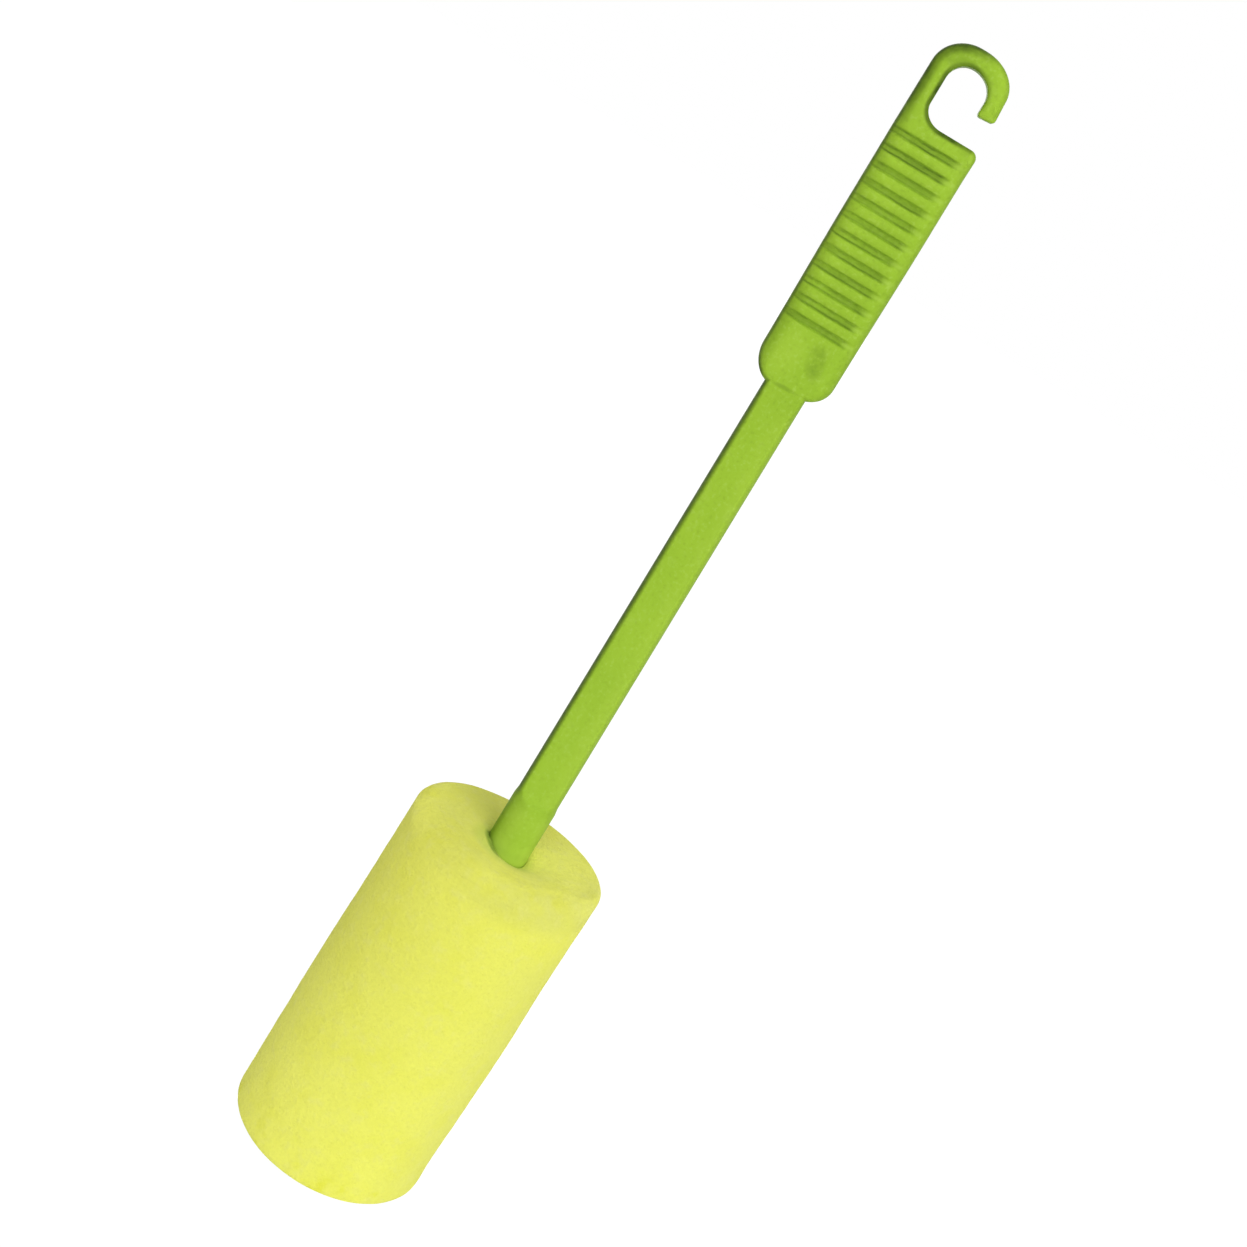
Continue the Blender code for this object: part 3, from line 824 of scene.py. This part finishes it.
def uneven(place, size, seed):
    """Smooth noise from -1 to 1 whose lumps are about size across."""
    return noise.noise(place / size + Vector((seed, 0.37 * seed, -0.71 * seed)))


def unevenness(place, lumps):
    """Height of several kinds of lump together."""
    return sum(height * uneven(place, size, seed) for height, size, seed in lumps)


def top_rim_at(angle):
    """Radius of the top rim: squeezed rounder on the front, and sharpest on the right."""
    front = (TOP_RIM_FRONT - TOP_RIM_RADIUS) * rise(-math.sin(angle), TOP_RIM_FRONT_SINES)
    from_squeeze = math.remainder(angle - TOP_RIM_SQUEEZED_SIDE, 2 * math.pi) / TOP_RIM_SQUEEZED_REACH
    sharper = TOP_RIM_SHARPER * max(math.cos(angle), 0.0)
    return TOP_RIM_RADIUS - sharper + front + TOP_RIM_SQUEEZED * math.exp(-from_squeeze * from_squeeze)


def foam_skin(rim):
    """(radius, height) from the foot's centre, up the side and over a top rim of the given radius."""
    foot_edge = FOAM_RADIUS - FOOT_RIM_RADIUS
    top_edge = FOAM_RADIUS - rim
    mouth_edge = BORE_RADIUS + BORE_MOUTH_RADIUS
    skin = [(0.0, 0.0)]
    skin += line((foot_edge * FOOT_FIRST_RING, 0.0), (foot_edge, 0.0), FOOT_RINGS)
    skin += arc((foot_edge, FOOT_RIM_RADIUS), (FOOT_RIM_RADIUS,) * 2, -90, 0, FOOT_RIM_STEPS)[1:]
    skin += line((FOAM_RADIUS, FOOT_RIM_RADIUS), (FOAM_RADIUS, FOAM_TOP_Z - rim), FOAM_SIDE_ROWS)[1:]
    skin += arc((top_edge, FOAM_TOP_Z - rim), (rim, rim), 0, 90)[1:]
    skin += line((top_edge, FOAM_TOP_Z), (mouth_edge, FOAM_TOP_Z), TOP_RINGS)[1:]
    mouth_centre = (mouth_edge, FOAM_TOP_Z - BORE_MOUTH_RADIUS)
    return skin + arc(mouth_centre, (BORE_MOUTH_RADIUS,) * 2, 90, 180, MOUTH_STEPS)[1:]


def bore_profile():
    """(radius, height) down the bore, which keeps a small gap to the spigot's barbs."""
    bore = spigot_rows(FIT_GAP)[::-1]
    return line((BORE_RADIUS, FOAM_TOP_Z - BORE_MOUTH_RADIUS), bore[0], MOUTH_ROWS)[1:-1] + bore


def side_swell(place, angle):
    """How far the foam's side stands out: barrelled, drawn in at the top right and full at the foot."""
    to_right = max(math.cos(angle), 0.0)
    swell = FOAM_SWELL * bell(place.z - FOAM_SWELL_Z, FOAM_SWELL_REACH)
    swell -= FOAM_TOP_TAPER * to_right * rise(place.z, FOAM_TAPER_HEIGHTS)
    swell += FOAM_FOOT_BULGE * to_right * rise(place.z, FOAM_BULGE_HEIGHTS)
    return swell + unevenness(place, SIDE_LUMPS)


def top_dip(place, angle, from_neck):
    """How far the foam's top lies in: a dip beside the neck, a dimple round it and the cut's lumps."""
    dip = NECK_DIP_DEPTH * max(math.cos(angle - NECK_DIP_SIDE), 0.0) * math.exp(-from_neck / NECK_DIP_REACH)
    dip += NECK_DIMPLE_DEPTH * math.exp(-from_neck / NECK_DIMPLE_REACH)
    return dip + abs(unevenness(place, TOP_LUMPS)) * ease(from_neck / LUMPY_FROM_NECK)


def foam_point(radius, angle, z):
    """A point of the foam, leant, swollen, pressed in at the neck and uneven as cut foam is."""
    outward = Vector((math.cos(angle), math.sin(angle), 0))
    place = outward * radius + Vector((0, 0, z))
    from_neck = max(radius - BORE_RADIUS, 0.0)
    depth = FOAM_TOP_Z - z
    on_side = rise(FOAM_RADIUS - radius, FOAM_SIDE_DEPTHS)
    swell = side_swell(place, angle) * on_side
    dip = top_dip(place, angle, from_neck) * rise(depth, NECK_DIP_DEPTHS)
    hug = NECK_HUG * ease(1 - from_neck / NECK_HUG_REACH) * ease(1 - depth / NECK_HUG_DEPTH)

    place += outward * (swell - hug)
    place.z -= dip
    free = ease(from_neck / FREE_OF_NECK)
    lift = FOAM_LEFT_LIFT_AT_FOOT + (FOAM_LEFT_LIFT - FOAM_LEFT_LIFT_AT_FOOT) * ease(z / FOAM_TOP_Z)
    place.z += lift * max(-place.x, 0.0) * free
    place.x += FOAM_LEAN * (z - FOAM_LEAN_PIVOT_Z) * free
    return place


def build_foam():
    """Cut foam cylinder that leans a little on its handle, with soft rims and a pinched mouth."""
    columns = []
    for side in range(FOAM_SIDES):
        angle = 2 * math.pi * side / FOAM_SIDES
        profile = foam_skin(top_rim_at(angle)) + bore_profile()
        columns.append([foam_point(radius, angle, z) for radius, z in profile])
    foot, *rows, bore_end = zip(*columns)
    bm = bmesh.new()
    rings = [[bm.verts.new(place) for place in row] for row in (foot[:1], *rows, bore_end[:1])]
    join_rings(bm, rings, FOAM_SIDES)
    foam = finish_mesh("foam_head", bm)
    shade_round(foam, FOAM_CREASE)
    return foam


# Materials

class Field:
    """A shader socket that works in Python expressions: each operator adds its Math node."""

    def __init__(self, graph, socket):
        self.graph = graph
        self.socket = socket

    def math(self, operation, *others):
        """The result of a Math node on this and the others."""
        values = dict(enumerate((self, *others)))
        return self.graph.node("ShaderNodeMath", {"operation": operation}, values)

    def __add__(self, other):
        return self.math("ADD", other)

    def __sub__(self, other):
        return self.math("SUBTRACT", other)

    def __rsub__(self, other):
        return self.graph.node("ShaderNodeMath", {"operation": "SUBTRACT"}, {0: other, 1: self})

    def __neg__(self):
        return 0.0 - self

    def __mul__(self, other):
        return self.math("MULTIPLY", other)

    def __truediv__(self, other):
        return self.math("DIVIDE", other)

    def __pow__(self, other):
        return self.math("POWER", other)

    def __abs__(self):
        return self.math("ABSOLUTE")

    __radd__ = __add__
    __rmul__ = __mul__

    def most(self, other):
        """The larger of the two."""
        return self.math("MAXIMUM", other)

    def wrap(self, length):
        """Distance to the nearest whole multiple of length."""
        return self.math("PINGPONG", length / 2)

    def rise(self, start, end):
        """0 at start and 1 at end, eased between them. End may be the lower."""
        settings = {"interpolation_type": "SMOOTHSTEP"}
        low, high = min(start, end), max(start, end)
        outs = {3: 0.0, 4: 1.0} if start < end else {3: 1.0, 4: 0.0}
        return self.graph.node("ShaderNodeMapRange", settings, {0: self, 1: low, 2: high, **outs})


class Graph:
    """A node tree, whose nodes all come from one method."""

    def __init__(self, tree):
        self.tree = tree

    def node(self, kind, settings=None, values=None, output=0):
        """Add a node: its settings first, then the values or links of its sockets."""
        node = self.tree.nodes.new(kind)
        for setting, value in (settings or {}).items():
            setattr(node, setting, value)
        for socket, value in (values or {}).items():
            if isinstance(value, Field):
                self.tree.links.new(value.socket, node.inputs[socket])
            else:
                node.inputs[socket].default_value = value
        return Field(self, node.outputs[output])

    def feed(self, socket, field, name="Principled BSDF"):
        """Link a field into a node that the tree came with."""
        self.tree.links.new(field.socket, self.tree.nodes[name].inputs[socket])

    def sight_rays(self):
        """1 for what the camera, gloss and glass see, 0 for the light on the brush."""
        camera = self.node("ShaderNodeLightPath", output="Is Camera Ray")
        glossy = self.node("ShaderNodeLightPath", output="Is Glossy Ray")
        through = self.node("ShaderNodeLightPath", output="Is Transmission Ray")
        return camera.most(glossy).most(through)


class Shader(Graph):
    """A material around one Principled BSDF, whose constant settings are given by socket name."""

    def __init__(self, name, **constants):
        self.material = bpy.data.materials.new(name)
        self.material.use_nodes = True
        super().__init__(self.material.node_tree)
        surface = self.tree.nodes["Principled BSDF"]
        for words, value in constants.items():
            socket = words.replace("_", " ").title().replace("Ior", "IOR")
            surface.inputs[socket].default_value = value

    def start(self, ground):
        """Take up the position on the piece, in metres, and the colour that the others are laid over."""
        self.colour = ground
        self.position = self.node("ShaderNodeTexCoord", output="Object")
        axes = [self.node("ShaderNodeSeparateXYZ", None, {0: self.position}, axis) for axis in range(3)]
        self.x, self.y, self.z = axes

    def noise(self, size, detail, roughness=0.5, stretch=None, position=None):
        """Noise about 0.5 whose lumps are about size across."""
        position = position or self.position
        if stretch:
            stretching = {0: position, 1: stretch}
            position = self.node("ShaderNodeVectorMath", {"operation": "MULTIPLY"}, stretching)
        values = {"Vector": position, "Scale": 1 / size, "Detail": detail, "Roughness": roughness}
        return self.node("ShaderNodeTexNoise", None, values)

    def cells(self, size):
        """0 at the middle of each foam cell and about 1 on the walls between cells."""
        values = {"Vector": self.position, "Scale": 1 / size}
        return self.node("ShaderNodeTexVoronoi", None, values, "Distance")

    def paint(self, share, colour):
        """Lay a colour over what is there: none of it where share is 0, and only it where share is 1."""
        colours = {0: share, 6: self.colour, 7: colour}
        self.colour = self.node("ShaderNodeMix", {"data_type": "RGBA"}, colours, 2)

    def spot(self, centre, reach, slant):
        """1 in the middle of an oval mark and 0 outside it, slant leaning it as it rises."""
        up = (self.z - centre[1]) / reach[1]
        across = (self.x - centre[0]) / reach[0] + up * slant
        return (up * up + across * across).rise(2.2, 0.0)

    def bump(self, height, distance):
        """The normal of a surface with this relief."""
        return self.node("ShaderNodeBump", None, {"Height": height, "Distance": distance})


def plain_green(shader, cloud):
    """Green with slow flow clouds along the handle, and fine pale and dark specks."""
    flow = shader.noise(0.0120, 3.0, 0.6, (1.0, 1.0, 0.35))
    speck = shader.noise(0.0011, 2.0, 0.55)
    shader.paint(flow.rise(0.35, 0.70), GREEN)
    shader.paint(cloud.rise(0.50, 0.80) * 0.35, PALE_GREEN)
    shader.paint(speck.rise(0.52, 0.72) * 0.52, PALE_GREEN)
    shader.paint(speck.rise(0.46, 0.28) * 0.16, GRIME_AND_SHADE_GREEN)


def shaded_grooves(shader, cloud):
    """Painted shade along the feet of the grooves' walls and in patches on their floors, most in the top
    two, and painted light on their floors towards the open side.
    """
    x, z = shader.x, shader.z
    foot_patches = shader.noise(0.0042, 2.0, 0.5, (0.45, 1.0, 1.0))
    floor_patches = shader.noise(0.0050, 1.0, 0.5, (0.25, 1.0, 1.1))
    across = z + (foot_patches - 0.5) * GROOVE_WANDER + (cloud - 0.5) * GROOVE_RAGGEDNESS - FIRST_GROOVE_Z
    among = z.rise(LAST_GROOVE_Z - GROOVE_PITCH / 2, LAST_GROOVE_Z - GROOVE_WIDTH / 2 - GROOVE_LIP)
    among *= z.rise(LEDGE_Z - LAND_ABOVE_GROOVES, GROOVES_TOP_Z + GROOVE_LIP)
    among *= abs(shader.y).rise(*ON_FACE_DEPTHS)
    top_two = z.rise(FIRST_GROOVE_Z - 1.8 * GROOVE_PITCH, FIRST_GROOVE_Z - 1.2 * GROOVE_PITCH)

    # Painted shade at the feet of the walls and on the floors
    upper_foot = (across - LIP_FOOT).wrap(GROOVE_PITCH).rise(*GROOVE_FOOT_LINE)
    lower_foot = (across + LIP_FOOT).wrap(GROOVE_PITCH).rise(*GROOVE_FOOT_LINE)
    floor = across.wrap(GROOVE_PITCH).rise(GROOVE_WIDTH / 2, LIP_FOOT - GROOVE_LIP)
    top_floors = top_two * x.rise(*TOP_GROOVES_SHADE)
    groove_shade = upper_foot * (0.06 + 0.40 * cloud.rise(0.36, 0.64) + 0.36 * top_two)
    groove_shade += lower_foot * (0.36 + 0.38 * foot_patches.rise(0.36, 0.62) + 0.16 * top_two)
    groove_shade += floor * (0.06 + 0.36 * floor_patches.rise(0.40, 0.62) + 0.34 * top_floors)
    shader.paint(among * groove_shade * x.rise(*SHADED_PART), GRIME_AND_SHADE_GREEN)
    # Painted light on the floors towards the open side
    run_end = x.rise(*GROOVE_RUN_IN) * x.rise(*GROOVE_RUN_OUT)
    shader.paint(among * floor * run_end * 0.40, PALE_GREEN)


def marks_and_painted_light(shader, cloud):
    """Darker on the sink mark, painted shade at the joint of grip and shank and on the arch, and a painted
    highlight low on the grip.
    """
    front = (-shader.y).rise(*FRONT_DEPTHS)
    sink_darkening = shader.spot(*SINK_MARK) * front
    sink_darkening *= 0.30 + 0.70 * cloud.rise(0.30, 0.62)
    shader.paint(sink_darkening * 0.44, GRIME_AND_SHADE_GREEN)
    # Painted shade at the step where the shank meets the grip
    joint_shade = shader.spot(*JOINT_SHADE_OVAL) * front
    shader.paint(joint_shade * (0.12 + 0.26 * cloud.rise(0.20, 0.60)), GRIME_AND_SHADE_GREEN)
    # Painted shade on the arch
    arch_shade = shader.spot(*ARCH_SHADE_OVAL)
    shader.paint(arch_shade * (0.20 + 0.30 * cloud.rise(0.30, 0.70)), GRIME_AND_SHADE_GREEN)
    # Painted highlight low on the grip
    pale = shader.spot(*GRIP_HIGHLIGHT_OVAL) * front
    shader.paint(pale * 0.15, PAINTED_LIGHT_GREEN)


def painted_light_on_shank_and_neck(shader):
    """Painted light: the shank pales to its right and lower down, and the neck takes up the foam's yellow as
    painted bounce light.
    """
    x, z = shader.x, shader.z
    # Painted light on the shank, to its right, which faces the light, and lower down
    paler = 0.17 * x.rise(*SHANK_RIGHT) + 0.12 * z.rise(*SHANK_LOWER_PART) * x.rise(*SHANK_NOT_LEFT)
    paler *= z.rise(GRIP_BASE_Z, GRIP_BASE_Z - GRIP_TO_SHANK)
    paler *= z.rise(FLAT_START_Z - NECK_TO_SHANK, FLAT_START_Z)
    shader.paint(paler, PAINTED_LIGHT_GREEN)
    above_foam = z - FOAM_TOP_Z
    middle = x.rise(*NECK_MIDDLE[0]) * x.rise(*NECK_MIDDLE[1])
    # Painted bounce light from the foam on the neck
    glowing = (z - FLAT_START_Z).rise(*NECK_HEIGHTS) * 0.42
    glowing = glowing.most(above_foam.rise(*NECK_FOOT_HEIGHTS) * 0.95)
    glowing *= x.rise(*NECK_NOT_LEFT) * (1.0 - middle * 0.28)
    shader.paint(glowing, PAINTED_LIGHT_GREEN)
    # Stronger painted bounce light at the neck's foot
    neck_end = above_foam.rise(*NECK_END_HEIGHTS) * x.rise(*NECK_END_NOT_LEFT)
    shader.paint(neck_end * (1.0 - middle * 0.20), PAINTED_BOUNCE_GREEN)


def green_plastic():
    """Satin polypropylene: flow clouds, a fine skin, painted shade in the grooves and along the edges, and
    painted light on the shank and neck.
    """
    shader = Shader("green_plastic", specular_ior_level=0.05)
    shader.start(DEEP_GREEN)
    cloud = shader.noise(0.0026, 3.0, 0.6)
    plain_green(shader, cloud)
    shaded_grooves(shader, cloud)
    marks_and_painted_light(shader, cloud)
    painted_light_on_shank_and_neck(shader)
    # Painted shade along the edges, from each vertex's value
    edge = shader.node("ShaderNodeAttribute", {"attribute_name": EDGE_SHADE_ATTRIBUTE}, output="Fac")
    shader.paint(edge * (0.58 + 0.84 * cloud), EDGE_SHADE_GREEN)
    shader.feed("Base Color", shader.colour)
    shader.feed("Roughness", 0.42 + 0.14 * cloud)

    skin = shader.noise(0.0006, 2.0)
    ripple = shader.noise(0.0070, 1.0, 0.5, (1.0, 1.0, 0.5))
    parting = abs(shader.y).rise(*PARTING_LINE)
    relief = skin * 0.10 + ripple + parting * 0.35
    shader.feed("Normal", shader.bump(relief, 0.00012))
    return shader.material


def plain_yellow(shader, depth, from_axis, patch):
    """Yellow, lighter towards the foot and with painted light on the top, painted shade on the right and the
    top's left, and faint clouds.
    """
    x, y, z = shader.x, shader.y, shader.z
    # Lighter towards the foot, and painted light on the top
    lower_lighter = z.rise(*LOWER_LIGHTER_HEIGHTS) * (0.5 + 0.5 * x.rise(*LOWER_LIGHTER_LEFT))
    shader.paint(lower_lighter.most(depth.rise(*UPPER_DEPTHS)), FOAM_LIGHT)
    # Painted shade on the left of the top, where the neck's shadow falls
    left_top = depth.rise(*LEFT_TOP_DEPTHS) * x.rise(*LEFT_TOP_PART) * x.rise(*LEFT_TOP_OUTER)
    shader.paint(left_top * 0.32, FOAM_SHADE_AND_MARKS)
    # Painted shade on the right of the top rim
    crest = depth.rise(*CREST_DEPTHS).most(from_axis.rise(*CREST_FROM_AXIS) * 0.60)
    right_rim = depth.rise(*RIGHT_RIM_DEPTHS) * crest * (x * 1.3 - y).rise(*RIGHT_RIM_REACH)
    shader.paint(right_rim * 0.38, FOAM_PALE_SHADE)
    # Painted shade down the right side
    right_side = x.rise(*RIGHT_SIDE) * z.rise(*RIGHT_SIDE_HEIGHTS)
    shader.paint(right_side * 0.17, FOAM_PALE_SHADE)

    cloud = shader.noise(0.0100, 4.0, 0.62)
    grain = shader.noise(0.0009, 2.0, 0.6)
    fresh = shader.noise(0.0065, 3.0, 0.55)
    by_rim = depth.rise(*RIM_DEPTHS) * from_axis.rise(*RIM_FROM_AXIS) * 0.60
    by_rim = by_rim.most(z.rise(*FOOT_HEIGHTS))
    shader.paint(cloud.rise(0.42, 0.70) * 0.25, FOAM_DEEP)
    shader.paint(patch.rise(0.48, 0.74) * 0.30, FOAM_PALE)
    shader.paint(by_rim * fresh.rise(0.50, 0.72) * 0.75, FOAM_DEEP)
    shader.paint(grain.rise(0.62, 0.30) * 0.10, FOAM_SHADE_AND_MARKS)


def turning_lines(shader, depth, from_axis):
    """Faint rings round the axis, left by the blade that cut the foam."""
    ring = shader.node("ShaderNodeCombineXYZ", None, {0: from_axis, 1: shader.z})
    drawn = {0: shader.position, 1: TURNING_DRIFT, 2: ring}
    along = shader.node("ShaderNodeVectorMath", {"operation": "MULTIPLY_ADD"}, drawn)
    lines = shader.noise(0.0008, 2.0, 0.6, position=along)
    shader.paint(depth.rise(*TURNED_DEPTHS) * lines.rise(0.48, 0.76) * 0.13, FOAM_SHADE_AND_MARKS)


def painted_neck_shade(shader, depth, from_axis, patch):
    """Painted shade round the neck, tinted green as bounce light from it, a painted shadow before it and one
    in the dark crease at its front left.
    """
    x, y = shader.x, shader.y
    # Painted shade tinted green round the neck
    green_shade = from_axis.rise(*GREEN_SHADE_FROM_AXIS) * depth.rise(*GREEN_SHADE_DEPTHS)
    shader.paint(green_shade * (0.08 + 0.30 * patch), FOAM_GREEN_SHADE)
    on_top = depth.rise(*ON_TOP_DEPTHS)
    # Painted shadow before the neck
    halo = ((x + HALO_SHIFT[0]) ** 2.0 + (y + HALO_SHIFT[1]) ** 2.0) ** 0.5
    halo = halo.rise(NECK_RADIUS + HALO_WIDTH, NECK_RADIUS)
    shader.paint(halo * on_top * 0.42, FOAM_GREEN_SHADE)
    # Painted shadow in the crease at the neck's front left
    crease = (x / (NECK_RADIUS + CREASE_WIDTH[0])) ** 2.0 + (y / (NECK_RADIUS + CREASE_WIDTH[1])) ** 2.0
    crease = crease.rise(1.22, 0.80) * (-x).rise(*CREASE_LEFT) * (-y).rise(*CREASE_FRONT)
    shader.paint(crease * on_top * 0.88, NECK_CREASE_SHADE)


def yellow_foam():
    """Fine open-celled foam: small pits with painted shade in them, faint clouds, and deeper yellow by the
    rims.
    """
    shader = Shader("yellow_foam", roughness=0.95, specular_ior_level=0.12, diffuse_roughness=0.8)
    shader.start(FOAM_YELLOW)
    patch = shader.noise(0.0030, 3.0, 0.6)
    from_axis = (shader.x * shader.x + shader.y * shader.y) ** 0.5
    depth = FOAM_TOP_Z - shader.z
    plain_yellow(shader, depth, from_axis, patch)
    turning_lines(shader, depth, from_axis)
    painted_neck_shade(shader, depth, from_axis, patch)
    coarse = shader.cells(0.0011)
    fine = shader.cells(0.0005)
    # Painted shade in the foam's pits
    pits = coarse.rise(0.35, 0.05) * 0.6 + fine.rise(0.40, 0.05) * 0.4
    shader.paint(pits * 0.20, FOAM_SHADE_AND_MARKS)
    shader.feed("Base Color", shader.colour)
    relief = coarse * 0.5 + fine * 0.3 + patch * 0.9
    shader.feed("Normal", shader.bump(relief, 0.00030))
    return shader.material


def floor_white():
    """White to the camera, with the brush's shadow kept, and a plain matt floor to everything else."""
    shader = Shader("floor_white", base_color=FLOOR_WHITE, roughness=1.0, specular_ior_level=0.0)
    matt = Field(shader, shader.tree.nodes["Principled BSDF"].outputs[0])
    glow = shader.node("ShaderNodeEmission", None, {"Strength": FLOOR_GLOW})
    share = shader.sight_rays() * FLOOR_GLOW_SHARE
    surface = shader.node("ShaderNodeMixShader", None, {0: share, 1: matt, 2: glow})
    shader.feed("Surface", surface, "Material Output")
    return shader.material


# Stage

def build_floor():
    """The plain floor that the brush stands on."""
    bm = bmesh.new()
    bmesh.ops.create_grid(bm, x_segments=1, y_segments=1, size=FLOOR_SIZE / 2)
    floor = finish_mesh("floor", bm)
    floor.data.materials.append(floor_white())


def build_world():
    """A pale surround: white to the camera, and a soft, even light on the brush."""
    world = bpy.data.worlds.new("studio")
    bpy.context.scene.world = world
    world.use_nodes = True
    graph = Graph(world.node_tree)
    graph.tree.nodes["Background"].inputs["Color"].default_value = SURROUND_WHITE
    strength = WORLD_LIGHT + (1.0 - WORLD_LIGHT) * graph.sight_rays()
    graph.feed("Strength", strength, "Background")


def add_softbox(name, azimuth, elevation, power):
    """A square softbox that looks at the brush from this side."""
    turn = math.radians(azimuth)
    lift = math.radians(elevation)
    towards = Vector((math.sin(turn) * math.cos(lift), -math.cos(turn) * math.cos(lift), math.sin(lift)))
    light = bpy.data.lights.new(name, "AREA")
    light.shape = "SQUARE"
    light.size = SOFTBOX_SIZE
    light.energy = power
    lamp = bpy.data.objects.new(name, light)
    lamp.location = LIGHT_AIM + towards * SOFTBOX_DISTANCE
    lamp.rotation_euler = towards.to_track_quat("Z", "Y").to_euler()
    bpy.context.scene.collection.objects.link(lamp)


def build_camera():
    """The photograph's camera looks down on the brush, rolled so that the handle leans right."""
    back = Vector((0.0, -math.cos(CAMERA_ELEVATION), math.sin(CAMERA_ELEVATION)))
    level_up = Vector((0.0, math.sin(CAMERA_ELEVATION), math.cos(CAMERA_ELEVATION)))
    across = Vector((1.0, 0.0, 0.0))
    right = math.cos(CAMERA_ROLL) * across + math.sin(CAMERA_ROLL) * level_up
    up = math.cos(CAMERA_ROLL) * level_up - math.sin(CAMERA_ROLL) * across
    data = bpy.data.cameras.new("camera")
    data.lens = CAMERA_LENS
    data.clip_start = 0.01
    camera = bpy.data.objects.new("camera", data)
    place = Matrix.Translation(CAMERA_AIM + back * CAMERA_DISTANCE)
    camera.matrix_world = place @ Matrix((right, up, back)).transposed().to_4x4()
    bpy.context.scene.collection.objects.link(camera)
    bpy.context.scene.camera = camera


def main():
    handle = build_handle()
    handle.data.materials.clear()
    handle.data.materials.append(green_plastic())
    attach(handle, "root")
    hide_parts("handle")

    foam = build_foam()
    foam.data.materials.append(yellow_foam())
    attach(foam, "root")
    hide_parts("sponge_head")

    build_floor()
    build_world()
    for softbox in SOFTBOXES:
        add_softbox(*softbox)
    build_camera()
    bpy.context.scene.view_settings.view_transform = "Standard"


main()
